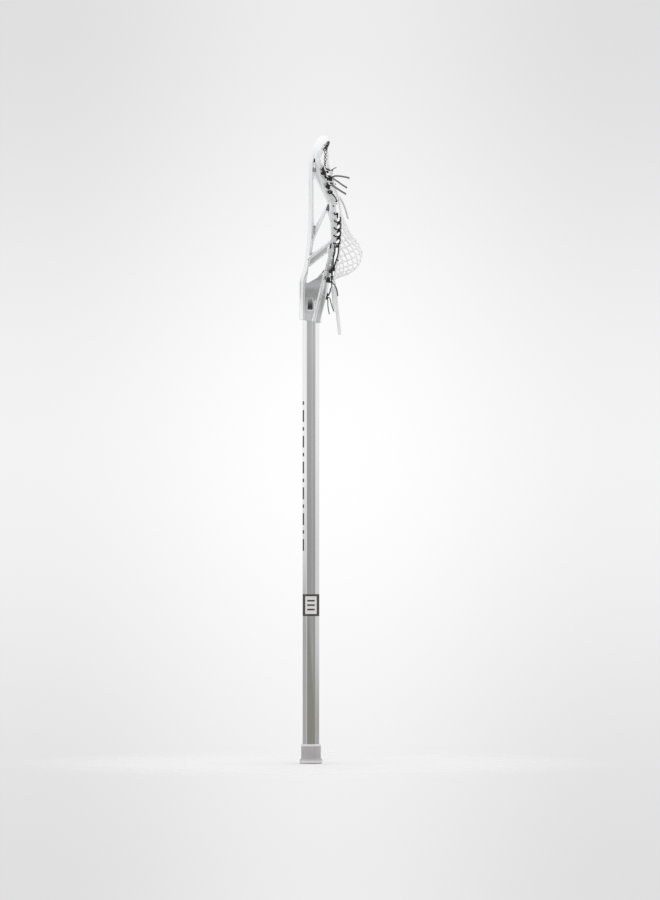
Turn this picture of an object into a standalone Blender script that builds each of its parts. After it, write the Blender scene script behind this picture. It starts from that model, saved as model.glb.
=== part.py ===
"""Lacrosse stick: a moulded head with a strung mesh pocket on an octagonal aluminium shaft.

Frame: metres, +Z up along the shaft, origin at the middle of the butt cap's lower face. The head's
face looks along -Y and the pocket hangs towards +Y. The stick is symmetric about X = 0, apart from
the loose ends of its strings. Sizes below are in millimetres; points are scaled when meshes are made.
"""

import math

import bmesh
import bpy
import numpy as np

MM = 0.001
GAP = 0.3  # clearance between pieces that touch

# Shaft: a 30 inch octagonal tube
SHAFT_BOTTOM = 4.0
SHAFT_LENGTH = 762.0
SHAFT_WIDTH = 25.4  # across the faces that look along X
SHAFT_DEPTH = 27.2  # across the faces that look along Y
SIDE_FLAT = 13.9  # width of the faces that look along X
FRONT_FLAT = 12.8  # width of the faces that look along Y
SHAFT_WALL = 1.5
SHAFT_CORNER = 1.4
SHAFT_TOP = SHAFT_BOTTOM + SHAFT_LENGTH

# Butt cap: (height, how far its outside stands off the shaft's faces)
CAP_PROFILE = [(0, 3.4), (1.2, 4.9), (5.6, 4.9), (7.2, 3.7), (8.4, 2.4), (29.4, 2.2), (31, 1.5)]

# Head: the sidewall's centre line seen from the front, (half width, height), neck to scoop
PLAN = [
    (16, 712), (16, 735), (19, 755), (25, 772), (33.5, 790), (39, 808), (42, 835), (45, 865),
    (52, 900), (63.5, 933), (74, 962), (77.5, 980), (73, 997), (58, 1009), (32, 1016.5), (0, 1019),
]
# Front and back edges of the sidewall seen from the side, (height, y)
FRONT_EDGE = [
    (712, -18.6), (783, -18.5), (792, -16.2), (804, -11.8), (817, -10), (840, -7), (866, -5),
    (900, -4), (976, -3.5), (988, -1.6), (1000, 3), (1011, 8.5), (1019, 14.5),
]
BACK_EDGE = [
    (712, 14), (730, 18), (763, 26), (787, 31), (812, 36), (840, 40.5), (877, 42.4), (905, 41.3),
    (920, 38), (935, 32.8), (950, 28.5), (966, 24), (977, 17), (985, 15), (997, 16.5), (1007, 20.5),
    (1019, 28),
]
HEAD_STEP = 9.0  # distance between the sidewall's sections
RAIL = 3.2  # half thickness of the rails
WEB = 1.8  # half thickness of the wall between them
RAIL_WIDTH = 7.3
RIB_WIDTH = 4.5
FLANGE_WIDTH = 8.5
SCOOP_START, SCOOP_FULL = 972, 1000  # heights between which the sidewall turns into the scoop
# The scoop's section, (outward, share of its width behind the front edge), with a thin lip that
# reaches inwards along its back edge for the top string
SCOOP_SECTION = [
    (0.8, 0), (2, 0.08), (2.8, 0.2), (3.2, 0.36), (3.2, 0.52), (3.1, 0.66), (2.8, 0.78), (2.2, 0.88),
    (1.4, 0.96), (0.4, 1), (-9.6, 1), (-10.2, 0.91), (-9.6, 0.82), (-3.4, 0.76), (-3.2, 0.62),
    (-3.2, 0.48), (-3, 0.32), (-2.6, 0.2), (-1.8, 0.08), (-0.8, 0),
]
LIP_MIDDLE = -6.2  # outward place of the holes in the lip
LIP_THICKNESS = 2.4

# Neck: (height, back y) of the block between the sidewalls; its sides follow PLAN
NECK_LEVELS = [(712, 17.2), (735, 17.2), (755, 17.2), (772, 18.5), (788, 22), (802, 26)]
NECK_CORNER = 4.0
MOUTH_FRONT, MOUTH_BACK = 722.5, 716.5  # heights of the slanted mouth at y = -18 and y = 18
BORE_TOP = SHAFT_TOP + 0.4
# Ball stop: (y, height) of its top along the middle, and how its sides rise
STOP_LINE = [(-22, 770), (-9, 770.5), (3, 777.5), (15, 786), (26, 800), (40, 822)]
STOP_RADIUS = 55.0
PAD_THICKNESS = 4.0
PAD_FRONT, PAD_BACK = (-8, 18.5), (22, 26)  # (y, half width) at the pad's two ends

# Windows in the sidewalls, corners as (y, height), and the radius of their corners
WINDOWS = [
    [(3.8, 962), (27.5, 912), (5.2, 868)],
    [(27, 903), (31.3, 882), (33, 853), (1.2, 829), (5, 853)],
    [(29, 834.5), (27, 821), (21, 800), (14, 793), (-8.5, 780), (-3.5, 809)],
]
WINDOW_CORNER = 1.5
# Recess in the throat's sides, corners as (y, height), and its floor's distance inside the wall
RECESS = [(-6.5, 757), (5.5, 757), (4.5, 737), (-5.5, 737)]
RECESS_DEPTH = 1.6

# String holes: in the flange of each sidewall and across the scoop
HOLE = 4.4
HOLE_INSET = 4.2  # from the back edge
HOLE_PITCH = 12.0
FIRST_HOLE = 786.5
SIDE_HOLES = 16
LOW_HOLE = 762.5
SCOOP_HOLES = 10
SCOOP_OFFSETS = [HOLE_PITCH * (k - (SCOOP_HOLES - 1) / 2) for k in range(SCOOP_HOLES)]

# Screw through the back of the neck
SCREW_HEIGHT = 743.0
SCREW_HOLE = 4.8
# (y, radius) along the screw, from its tip to its head
SCREW_PROFILE = [(8.6, 0.6), (10.4, 2.0), (17.5, 2.0), (17.5, 4.0), (19.4, 3.7), (20.2, 2.4), (20.4, 0.9)]

# Pocket: middle of the mesh seen from the side, (y, height), from the scoop to the throat
POCKET_MIDDLE = [
    (29, 1004), (29, 975), (34, 935), (44, 909), (64, 865), (79, 843), (83, 832), (78, 812),
    (64, 799), (44, 791), (37, 787),
]
# Edge of the mesh: heights where it starts and ends, and its distance behind and inside the sidewall
POCKET_TOP, POCKET_BOTTOM = 996, 791
POCKET_BEHIND = 6.6
POCKET_LEAST = 28.0  # y that the edge keeps to behind the scoop, whose own back edge dips
POCKET_INSIDE = 3.5
POCKET_ROUND = 2.2  # exponent of its cross-section
POCKET_THICKNESS = 1.8
POCKET_ROWS, POCKET_COLUMNS = 24, 14

# Strings
STRING = 2.2
LACE = 3.0  # shooting strings
KNOT_SWELL = 1.9
WHIP_HOLES = [9, 8, 7, 6, 5]  # side holes, counted from the lowest, that the string whips through
SHOOTING_HOLES = [15, 14, 13]  # side holes beside the shooting strings, top to bottom
SHOOTING_ROWS = [0.165, 0.215, 0.268]  # where they cross the mesh, as shares of its length
LOOP_BEHIND = 4.4  # how far a whipped loop's middle reaches behind the flange

# Loose ends: name, diameter, material, and the points of the route
TAILS = [
    ("shooting_tail_thin", 1.6, "string_dark",
     [(78, 28, 962), (86, 33, 963), (95, 37.5, 965.5), (106, 41, 966.5)]),
    ("shooting_tail_upper", 3.0, "lace_grey",
     [(77, 37.5, 954), (83, 46, 953.6), (89, 55, 952), (95, 62.5, 950)]),
    ("shooting_tail_middle", 2.8, "lace_grey",
     [(79, 35.5, 950), (85, 43, 945), (91, 51, 939), (97, 58.5, 934)]),
    ("shooting_tail_lower", 3.2, "lace_grey",
     [(76, 34, 939.5), (82, 41, 934.5), (87, 49, 929), (93, 57, 924)]),
    ("shooting_tail_left", 3.0, "lace_pale",
     [(-62, 42, 931), (-65, 50, 919), (-66, 56.5, 904), (-66, 60.5, 889)]),
    ("throat_tail_curved", 2.4, "string_dark",
     [(37, 34, 783), (44, 38.5, 778), (50, 42, 770), (55, 43.5, 760)]),
    ("throat_tail_front", 1.8, "string_dark",
     [(14, 27.5, 755), (21, 27.5, 747), (27.5, 28.3, 739), (34, 30, 731)]),
    ("throat_tail_back", 1.8, "string_dark",
     [(18, 31, 757), (25, 32.5, 750), (32.5, 34.5, 743), (40, 37, 736)]),
    ("throat_lace", 6.0, "lace_white",
     [(-4, 39, 777), (-5, 40.5, 762), (-5, 41.8, 745), (-4, 44.5, 722), (-3, 47, 698)]),
    ("throat_lace_short", 5.5, "lace_white",
     [(4, 35, 775), (5, 36.5, 763), (5.5, 37.5, 749), (5, 38.5, 735)]),
]

# Materials: (colour, roughness, metallic)
MATERIALS = {
    "aluminium": ((0.62, 0.62, 0.63), 0.3, 1.0),
    "white_plastic": ((0.88, 0.88, 0.89), 0.35, 0.0),
    "grey_rubber": ((0.55, 0.53, 0.54), 0.7, 0.0),
    "screw_steel": ((0.5, 0.5, 0.5), 0.3, 1.0),
    "dark_foam": ((0.06, 0.06, 0.06), 0.9, 0.0),
    "white_mesh": ((0.9, 0.9, 0.9), 0.8, 0.0),
    "string_dark": ((0.02, 0.02, 0.02), 0.8, 0.0),
    "lace_grey": ((0.2, 0.2, 0.2), 0.8, 0.0),
    "lace_pale": ((0.6, 0.6, 0.6), 0.8, 0.0),
    "lace_white": ((0.85, 0.85, 0.85), 0.8, 0.0),
}


# ---------------------------------------------------------------- curves and outlines


def tangents(points):
    """Slopes of a smooth curve through points, per unit of chord length."""
    chord = np.concatenate([[0], np.cumsum(np.linalg.norm(np.diff(points, axis=0), axis=1))])
    slopes = np.gradient(points, chord, axis=0)
    return chord, slopes


def smooth_curve(points, step):
    """Points about step apart on a smooth curve through the given ones."""
    points = np.array(points, float)
    chord, slopes = tangents(points)
    count = max(2, round(chord[-1] / step))
    sampled = []
    for s in np.linspace(0, chord[-1], count + 1):
        i = min(int(np.searchsorted(chord, s, side="right")) - 1, len(points) - 2)
        span = chord[i + 1] - chord[i]
        t = (s - chord[i]) / span
        sampled.append(
            (2 * t**3 - 3 * t**2 + 1) * points[i]
            + (t**3 - 2 * t**2 + t) * span * slopes[i]
            + (3 * t**2 - 2 * t**3) * points[i + 1]
            + (t**3 - t**2) * span * slopes[i + 1]
        )
    return np.array(sampled)


def table_curve(table):
    """A function that reads a smooth curve through (place, value) rows and never overshoots them."""
    places, values = np.array(table, float).T
    rise = np.diff(values) / np.diff(places)
    slopes = np.zeros(len(values))
    for i in range(1, len(values) - 1):
        if rise[i - 1] * rise[i] > 0:
            slopes[i] = 2 * rise[i - 1] * rise[i] / (rise[i - 1] + rise[i])
    slopes[0], slopes[-1] = rise[0], rise[-1]

    def read(place):
        i = int(np.clip(np.searchsorted(places, place) - 1, 0, len(rise) - 1))
        span = places[i + 1] - places[i]
        t = min(1.0, max(0.0, (place - places[i]) / span))
        return float(
            (2 * t**3 - 3 * t**2 + 1) * values[i]
            + (t**3 - 2 * t**2 + t) * span * slopes[i]
            + (3 * t**2 - 2 * t**3) * values[i + 1]
            + (t**3 - t**2) * span * slopes[i + 1]
        )

    return read


front_edge = table_curve(FRONT_EDGE)
back_edge = table_curve(BACK_EDGE)
stop_height = table_curve(STOP_LINE)


def plan_right(step):
    """The right sidewall's centre line, (x, z), from the neck to the middle of the scoop."""
    mirrored = PLAN + [(-x, z) for x, z in PLAN[-2:-4:-1]]
    line = smooth_curve(mirrored, step)
    return line[line[:, 0] > step / 3]


def plan_line(step):
    """The whole centre line, (x, z), from the right neck over the scoop to the left neck."""
    right = plan_right(step)
    top = np.array([[0.0, PLAN[-1][1]]])
    return np.vstack([right, top, right[::-1] * [-1, 1]])


def plan_normals(line):
    """Unit vectors, (x, z), that point out of the head at each point of the centre line."""
    along = np.gradient(line, axis=0)
    along /= np.linalg.norm(along, axis=1)[:, None]
    return np.column_stack([along[:, 1], -along[:, 0]])


FINE_PLAN = plan_line(1.0)
FINE_NORMALS = plan_normals(FINE_PLAN)
SCOOP_MIDDLE = len(FINE_PLAN) // 2


def side_at(height):
    """(x, z) and the outward direction of the right sidewall's centre line at a height."""
    i = int(np.abs(FINE_PLAN[:SCOOP_MIDDLE, 1] - height).argmin())
    return FINE_PLAN[i], FINE_NORMALS[i]


def scoop_at(across):
    """(x, z) and the outward direction of the centre line on the scoop, at an x."""
    over = FINE_PLAN[:, 1] > SCOOP_FULL
    i = int(np.where(over, np.abs(FINE_PLAN[:, 0] - across), np.inf).argmin())
    return FINE_PLAN[i], FINE_NORMALS[i]


def placed(centre, normal, outward, y):
    """The point that stands outward of the sidewall's centre line by a distance, at a y."""
    return (centre[0] + normal[0] * outward, y, centre[1] + normal[1] * outward)


def beside(height, outward, behind):
    """A point by the right sidewall's flange, behind its back edge by a distance."""
    centre, normal = side_at(height)
    return np.array(placed(centre, normal, outward, back_edge(height) + behind))


def hole_height(k):
    """The height of a sidewall's hole, counted from the lowest whipped one."""
    return FIRST_HOLE + HOLE_PITCH * k


def octagon(outset):
    """The shaft's octagon moved out by outset, with each corner rounded by two points."""
    x, y = SHAFT_WIDTH / 2 + outset, SHAFT_DEPTH / 2 + outset
    grow = outset * math.tan(math.pi / 8)
    a, b = FRONT_FLAT / 2 + grow, SIDE_FLAT / 2 + grow
    corners = [(x, -b), (x, b), (a, y), (-a, y), (-x, b), (-x, -b), (-a, -y), (a, -y)]
    return cut_corners(corners, SHAFT_CORNER, 1)


def cut_corners(corners, radius, steps):
    """An outline with each corner replaced by an arc of steps straight pieces."""
    outline = []
    corners = [np.array(c, float) for c in corners]
    for i, corner in enumerate(corners):
        before, after = corners[i - 1] - corner, corners[(i + 1) % len(corners)] - corner
        before, after = before / np.linalg.norm(before), after / np.linalg.norm(after)
        half = math.acos(max(-1.0, min(1.0, float(before @ after)))) / 2
        reach = radius / math.tan(half)
        start, end = corner + before * reach, corner + after * reach
        bisector = (before + after) / np.linalg.norm(before + after)
        centre = corner + bisector * (radius / math.sin(half))
        for k in range(steps + 1):
            spoke = (start - centre) * (1 - k / steps) + (end - centre) * (k / steps)
            outline.append(centre + spoke * (radius / np.linalg.norm(spoke)))
    return np.array(outline)


# ---------------------------------------------------------------- meshes and objects


def make_material(name):
    colour, roughness, metallic = MATERIALS[name]
    material = bpy.data.materials.new(name)
    material.use_nodes = True
    shader = material.node_tree.nodes["Principled BSDF"]
    shader.inputs["Base Color"].default_value = (*colour, 1)
    shader.inputs["Roughness"].default_value = roughness
    shader.inputs["Metallic"].default_value = metallic
    return material


def material_for(name):
    return bpy.data.materials.get(name) or make_material(name)


def add_mesh(name, points, faces, material=None):
    """A mesh object from points in millimetres; without a material it is a cutter or a helper."""
    mesh = bpy.data.meshes.new(name)
    mesh.from_pydata([[c * MM for c in p] for p in points], [], [list(f) for f in faces])
    tidy = bmesh.new()
    tidy.from_mesh(mesh)
    bmesh.ops.recalc_face_normals(tidy, faces=tidy.faces)
    tidy.to_mesh(mesh)
    tidy.free()
    obj = bpy.data.objects.new(name, mesh)
    bpy.context.collection.objects.link(obj)
    if material:
        mesh.materials.append(material_for(material))
        mesh.shade_smooth()
        mesh.set_sharp_from_angle(angle=math.radians(35))
    else:
        obj.hide_render = True
        obj.display_type = "WIRE"
    return obj


def loft(sections, closed=False):
    """Points and faces of a solid skinned over sections with the same number of points."""
    count = len(sections[0])
    points = [tuple(p) for section in sections for p in section]
    rings = len(sections)
    faces = []
    for r in range(rings if closed else rings - 1):
        low, high = r * count, (r + 1) % rings * count
        for i in range(count):
            j = (i + 1) % count
            faces.append((low + i, low + j, high + j, high + i))
    if not closed:
        faces.append(range(count))
        faces.append(range((rings - 1) * count, rings * count))
    return points, faces


def joined(solids):
    """Points and faces of several separate solids in one mesh."""
    points, faces = [], []
    for solid_points, solid_faces in solids:
        start = len(points)
        points += list(solid_points)
        faces += [[start + i for i in face] for face in solid_faces]
    return points, faces


def prism(outline, axis, low, high):
    """A solid from a flat outline, stretched from low to high along x, y or z."""
    place = {
        "x": lambda p, s: (s, p[0], p[1]),
        "y": lambda p, s: (p[0], s, p[1]),
        "z": lambda p, s: (p[0], p[1], s),
    }[axis]
    return loft([[place(p, s) for p in outline] for s in (low, high)])


def rod(centre, direction, length, diameter, sides=8):
    """A straight rod whose middle is at centre."""
    centre, direction = np.array(centre, float), np.array(direction, float)
    direction /= np.linalg.norm(direction)
    across = np.cross(direction, [0, 1, 0] if abs(direction[1]) < 0.9 else [1, 0, 0])
    across /= np.linalg.norm(across)
    other = np.cross(direction, across)
    rings = []
    for end in (-length / 2, length / 2):
        angles = [2 * math.pi * k / sides for k in range(sides)]
        rings.append([
            centre + direction * end + (across * math.cos(a) + other * math.sin(a)) * diameter / 2
            for a in angles
        ])
    return loft(rings)


def add_boolean(obj, operation, other):
    modifier = obj.modifiers.new(other.name, "BOOLEAN")
    modifier.operation = operation
    modifier.solver = "EXACT"
    modifier.object = other


def add_tube(name, points, diameter, material, step, sides=6, knots=()):
    """A round cord on a smooth curve through points; knots lists those where it swells."""
    route = smooth_curve(points, step)
    curve = bpy.data.curves.new(name, "CURVE")
    curve.dimensions = "3D"
    curve.bevel_depth = diameter / 2 * MM
    curve.bevel_resolution = (sides - 4) // 2
    curve.use_fill_caps = True
    curve.render_resolution_u = 0
    spline = curve.splines.new("POLY")
    spline.points.add(len(route) - 1)
    for point, place in zip(spline.points, route):
        near = min((float(np.linalg.norm(place - np.array(points[k]))) for k in knots), default=99)
        point.co = (*(c * MM for c in place), 1)
        point.radius = 1 + (KNOT_SWELL - 1) * max(0.0, 1 - (near / (diameter * 1.5)) ** 2)
    curve.materials.append(material_for(material))
    obj = bpy.data.objects.new(name, curve)
    bpy.context.collection.objects.link(obj)
    return obj


# ---------------------------------------------------------------- shaft, cap and screw


def make_shaft():
    outer, inner = octagon(0), octagon(-SHAFT_WALL)
    levels = (SHAFT_BOTTOM, SHAFT_TOP)
    sections = [[(*p, z) for p in outer] for z in levels]
    sections += [[(*p, z) for p in inner] for z in reversed(levels)]
    shaft = add_mesh("shaft", *loft(sections, closed=True), "aluminium")
    hole = rod((0, SHAFT_DEPTH / 2, SCREW_HEIGHT), (0, 1, 0), 8, SCREW_HOLE, 12)
    add_boolean(shaft, "DIFFERENCE", add_mesh("shaft_screw_cutter", *hole))


def make_butt_cap():
    """A rubber cup over the shaft's lower end, with a wide flange round its foot."""
    inside = [(CAP_PROFILE[-1][0], GAP), (SHAFT_BOTTOM - GAP, GAP)]
    sections = [[(*p, z) for p in octagon(outset)] for z, outset in CAP_PROFILE + inside]
    add_mesh("butt_cap", *loft(sections), "grey_rubber")


def make_head_screw():
    """A pan-head screw along +Y, through the neck into the shaft's back wall."""
    sides = 16
    sections = []
    for y, radius in SCREW_PROFILE:
        angles = [2 * math.pi * k / sides for k in range(sides)]
        sections.append([
            (radius * math.cos(a), y, SCREW_HEIGHT + radius * math.sin(a)) for a in angles
        ])
    add_mesh("head_screw", *loft(sections), "screw_steel")


# ---------------------------------------------------------------- head


def wall_section(width, solid):
    """The band's section, (outward, distance behind the front edge): sidewall (0) to scoop (1)."""
    front = min(RAIL_WIDTH, 0.42 * width)
    rib = min(RIB_WIDTH, 0.2 * width)
    flange = min(FLANGE_WIDTH, 0.3 * width)
    web_end, rib_end = width - flange - rib, width - flange
    outer = [
        (2.0, 0), (RAIL, 1.2), (RAIL, front - 0.8), (WEB, front + 0.4), (WEB, web_end - 0.4),
        (RAIL, web_end + 0.6), (RAIL, rib_end - 0.8), (1.0, rib_end + 0.3), (1.0, width - 0.6),
        (0.2, width),
    ]
    inner = [
        (-1.8, width), (-2.6, width - 0.6), (-2.6, rib_end + 0.3), (-RAIL, rib_end - 0.4),
        (-RAIL, web_end + 0.6), (-WEB, web_end - 0.4), (-WEB, front + 0.4), (-RAIL, front - 0.8),
        (-RAIL, 1.2), (-2.0, 0),
    ]
    wall = np.array(outer + inner)
    scoop = np.array(SCOOP_SECTION) * [1, width]
    return wall * (1 - solid) + scoop * solid


def head_wall():
    """One band: the right sidewall, the scoop and the left sidewall."""
    line = plan_line(HEAD_STEP)
    sections = []
    for centre, normal in zip(line, plan_normals(line)):
        front, back = front_edge(centre[1]), back_edge(centre[1])
        solid = min(1.0, max(0.0, (centre[1] - SCOOP_START) / (SCOOP_FULL - SCOOP_START)))
        section = wall_section(back - front, solid)
        sections.append([placed(centre, normal, outward, front + y) for outward, y in section])
    return loft(sections)


def neck_block():
    """The solid between the sidewalls, from the mouth to the ball stop."""
    sections = []
    for height, back in NECK_LEVELS:
        half = side_at(height)[0][0] + 0.6
        front = front_edge(height) + 0.4
        outline = [(half, front), (half, back), (-half, back), (-half, front)]
        sections.append([(*p, height) for p in cut_corners(outline, NECK_CORNER, 3)])
    block = add_mesh("neck_block", *loft(sections))
    add_boolean(block, "DIFFERENCE", ball_cutter())
    return block


def stop_surface(x, y):
    return stop_height(y) + x * x / (2 * STOP_RADIUS)


def ball_cutter():
    """Everything above the ball stop's saddle, as deep as the neck block reaches."""
    rows, columns, half, top = 12, 12, 45, 860
    sections = []
    for i in range(rows + 1):
        y = STOP_LINE[0][0] + (STOP_LINE[-1][0] - STOP_LINE[0][0]) * i / rows
        across = [-half + 2 * half * k / columns for k in range(columns + 1)]
        floor = [(x, y, stop_surface(x, y)) for x in across]
        sections.append(floor + [(half, y, top), (-half, y, top)])
    return add_mesh("ball_cutter", *loft(sections))


def mouth_cutter():
    """Everything below the slanted mouth."""
    slope = (MOUTH_BACK - MOUTH_FRONT) / 36
    middle = (MOUTH_FRONT + MOUTH_BACK) / 2
    outline = [(-40, 690), (40, 690), (40, middle + 40 * slope), (-40, middle - 40 * slope)]
    return add_mesh("mouth_cutter", *prism(outline, "x", -50, 50))


def window_cutter():
    outlines = [cut_corners(corners, WINDOW_CORNER, 3) for corners in WINDOWS]
    return add_mesh("window_cutter", *joined([prism(o, "x", -90, 90) for o in outlines]))


def recess_cutter():
    """A shallow pocket in each side of the throat."""
    outline = cut_corners(RECESS, WINDOW_CORNER, 3)
    floor = side_at(RECESS[-1][1])[0][0] + WEB - RECESS_DEPTH
    return add_mesh(
        "recess_cutter", *joined([prism(outline, "x", side * floor, side * 40) for side in (-1, 1)])
    )


def hole_cutter():
    """Holes across both sidewalls' flanges, and from front to back through the scoop's lip."""
    rods = []
    for height in [LOW_HOLE] + [hole_height(k) for k in range(SIDE_HOLES)]:
        centre, normal = side_at(height)
        for side in (1, -1):
            middle = beside(height, 0, -HOLE_INSET) * [side, 1, 1]
            rods.append(rod(middle, (normal[0] * side, 0, normal[1]), 14, HOLE))
    for x in SCOOP_OFFSETS:
        centre, normal = scoop_at(x)
        middle = placed(centre, normal, LIP_MIDDLE, back_edge(centre[1]) - LIP_THICKNESS / 2)
        rods.append(rod(middle, (0, 1, 0), 2.5 * LIP_THICKNESS, HOLE))
    return add_mesh("hole_cutter", *joined(rods))


def make_head_frame():
    head = add_mesh("head_frame", *head_wall(), "white_plastic")
    add_boolean(head, "UNION", neck_block())
    bore = prism(octagon(GAP), "z", 690, BORE_TOP)
    screw_hole = rod((0, 18, SCREW_HEIGHT), (0, 1, 0), 12, SCREW_HOLE, 12)
    cutters = [
        add_mesh("bore_cutter", *bore),
        mouth_cutter(),
        window_cutter(),
        recess_cutter(),
        hole_cutter(),
        add_mesh("screw_hole_cutter", *screw_hole),
    ]
    for cutter in cutters:
        add_boolean(head, "DIFFERENCE", cutter)


def make_ball_stop_pad():
    """A foam strip that lies in the saddle of the ball stop."""
    rows, columns = 8, 10
    sections = []
    for i in range(rows + 1):
        share = i / rows
        y = PAD_FRONT[0] + (PAD_BACK[0] - PAD_FRONT[0]) * share
        half = PAD_FRONT[1] + (PAD_BACK[1] - PAD_FRONT[1]) * share
        across = [-half + 2 * half * k / columns for k in range(columns + 1)]
        floor = [(x, y, stop_surface(x, y) + 2 * GAP) for x in across]
        roof = [(x, y, z + PAD_THICKNESS) for x, y, z in reversed(floor)]
        sections.append(floor + roof)
    add_mesh("ball_stop_pad", *loft(sections), "dark_foam")


# ---------------------------------------------------------------- pocket


def pocket_edge(share):
    """The mesh's right edge, from the scoop's corner (0) to the throat (1)."""
    height = POCKET_TOP + (POCKET_BOTTOM - POCKET_TOP) * share
    centre, normal = side_at(height)
    y = max(back_edge(height) + POCKET_BEHIND, POCKET_LEAST)
    return np.array(placed(centre, normal, -POCKET_INSIDE, y))


POCKET_LINE = smooth_curve([(0, y, z) for y, z in POCKET_MIDDLE], 1.0)


def pocket_point(across, share):
    """A point of the mesh: across from -1 to 1, share from the scoop (0) to the throat (1)."""
    edge = pocket_edge(share)
    middle = POCKET_LINE[round(share * (len(POCKET_LINE) - 1))]
    sag = 1 - abs(across) ** POCKET_ROUND
    return np.array([edge[0] * across, *(edge[1:] + (middle[1:] - edge[1:]) * sag)])


def pocket_normal(across, share):
    """The unit vector that points out of the back of the mesh."""
    step = 0.02
    a, b = max(-1.0, across - step), min(1.0, across + step)
    c, d = max(0.0, share - step), min(1.0, share + step)
    sideways = pocket_point(b, share) - pocket_point(a, share)
    downward = pocket_point(across, d) - pocket_point(across, c)
    normal = np.cross(sideways, downward)
    return normal / np.linalg.norm(normal)


def make_pocket_mesh():
    """The mesh bag as a thin closed shell, open towards the face of the head."""
    sections = []
    for r in range(POCKET_ROWS + 1):
        share = r / POCKET_ROWS
        steps = [-1 + 2 * k / POCKET_COLUMNS for k in range(POCKET_COLUMNS + 1)]
        half = POCKET_THICKNESS / 2
        inside = [pocket_point(u, share) - pocket_normal(u, share) * half for u in steps]
        outside = [pocket_point(u, share) + pocket_normal(u, share) * half for u in steps]
        sections.append(inside + outside[::-1])
    add_mesh("pocket_mesh", *loft(sections), "white_mesh")


# ---------------------------------------------------------------- strings


OUTSIDE = 1.0 + STRING / 2 + GAP  # a string's middle where it lies on the flange's outer face
INSIDE = -2.6 - STRING / 2 - GAP  # and on its inner face


def side_string_route():
    """The right sidewall string: a knot, a whip stitch round the flange, a run and two knots."""
    top = hole_height(12)
    route = [
        beside(top, OUTSIDE + 1.5, -HOLE_INSET),
        beside(top - 5, OUTSIDE + 0.4, 0),
        beside(top - 10, 0, 2.4),
        beside(top - 15, INSIDE, 1.6),
        beside(top - 22, INSIDE - 0.4, -2),
        beside(hole_height(10) - 5, INSIDE, -HOLE_INSET),
    ]
    for k in WHIP_HOLES:
        height = hole_height(k)
        route += [
            beside(height, INSIDE, -HOLE_INSET),
            beside(height, 0, -HOLE_INSET),
            beside(height, OUTSIDE, -HOLE_INSET),
            beside(height - 1.5, OUTSIDE + 0.3, 1.5),
            beside(height - 4, -0.8, LOOP_BEHIND),
            beside(height - 7, INSIDE, 1),
        ]
    route += [
        beside(830, INSIDE, -3),
        beside(hole_height(2) + 5, INSIDE, -HOLE_INSET),
        beside(hole_height(2), INSIDE, -HOLE_INSET),
        beside(hole_height(2), OUTSIDE, -HOLE_INSET),
        beside(806, OUTSIDE + 0.6, -1),
        beside(801.5, OUTSIDE + 2, 1.6),
        beside(794, OUTSIDE + 1.5, 0),
        beside(787, OUTSIDE + 1.8, -2),
    ]
    return route, (0, len(route) - 3, len(route) - 1)


def mirrored(route):
    return [point * [-1, 1, 1] for point in route]


def side_point(height, outward, y):
    """A point by the right sidewall at a given y."""
    return np.array(placed(*side_at(height), outward, y))


def make_side_strings():
    route, knots = side_string_route()
    add_tube("sidewall_string_right", route, STRING, "string_dark", 3.6, knots=knots)
    add_tube("sidewall_string_left", mirrored(route), STRING, "string_dark", 3.6, knots=knots)


def make_top_string():
    """Loops through the lip of the scoop, with a run down behind it to a knot at each side."""
    clear = STRING / 2 + 2 * GAP
    turn = [  # (outward, behind the lip's back face, share of the way to the next hole)
        (LIP_MIDDLE, clear, 0),
        (LIP_MIDDLE, -LIP_THICKNESS / 2, 0),
        (LIP_MIDDLE - 0.2, -LIP_THICKNESS - clear, 0),
        (-9.8, -LIP_THICKNESS - clear, 0.1),
        (-12.8, -LIP_THICKNESS / 2, 0.25),
        (-10.6, clear, 0.5),
    ]
    loops = []
    for x in SCOOP_OFFSETS:
        for outward, behind, share in turn:
            centre, normal = scoop_at(x + HOLE_PITCH * share)
            loops.append(np.array(placed(centre, normal, outward, back_edge(centre[1]) + behind)))
    side = [side_point(973.5, 5.4, 18.5), side_point(977, 4.2, 23)]
    side += [side_point(982, 1, 27.5), side_point(991, 0, 28), side_point(1001, -3, 25)]
    route = mirrored(side) + loops + side[::-1]
    add_tube("top_string", route, STRING, "string_dark", 2.8, knots=(0, len(route) - 1))


def make_bottom_string():
    """From a knot at the left of the throat, along the mesh's lower edge, to a knot low on the right."""
    route = [
        beside(790, -4.5, 2.5) * [-1, 1, 1],
        beside(788, -9, 3.2) * [-1, 1, 1],
        (-12, 33.5, 783.5),
        (0, 33, 782.5),
        (12, 33, 781.5),
        (17, 31, 775),
        (17, 28.5, 768),
        (15, 26.5, 762),
    ]
    add_tube("bottom_string", route, STRING, "string_dark", 4.5, knots=(0, len(route) - 1))


def make_shooting_string(index):
    """A lace across the back of the mesh, tied outside both sidewalls."""
    height = hole_height(SHOOTING_HOLES[index])
    share = SHOOTING_ROWS[index]
    lift = POCKET_THICKNESS / 2 + LACE / 2 + 2 * GAP
    knot_out = 1.0 + LACE / 2 * KNOT_SWELL + 2 * GAP
    side = [
        beside(height, knot_out, -HOLE_INSET + 0.6),
        beside(height, knot_out + 0.6, 2.5),
        beside(height, -0.6, POCKET_BEHIND + 4.4),
    ]
    steps = [0.9, 0.78, 0.6, 0.4, 0.2]
    half = [pocket_point(u, share) + pocket_normal(u, share) * lift for u in steps]
    middle = [pocket_point(0, share) + pocket_normal(0, share) * lift]
    route = side + half + middle + mirrored(half[::-1]) + mirrored(side[::-1])
    add_tube(f"shooting_string_{index + 1}", route, LACE, "lace_grey", 6.0, knots=(0, len(route) - 1))


def make_tails():
    for name, diameter, material, points in TAILS:
        add_tube(name, points, diameter, material, max(2.5 * diameter, 4), sides=8)


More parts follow.
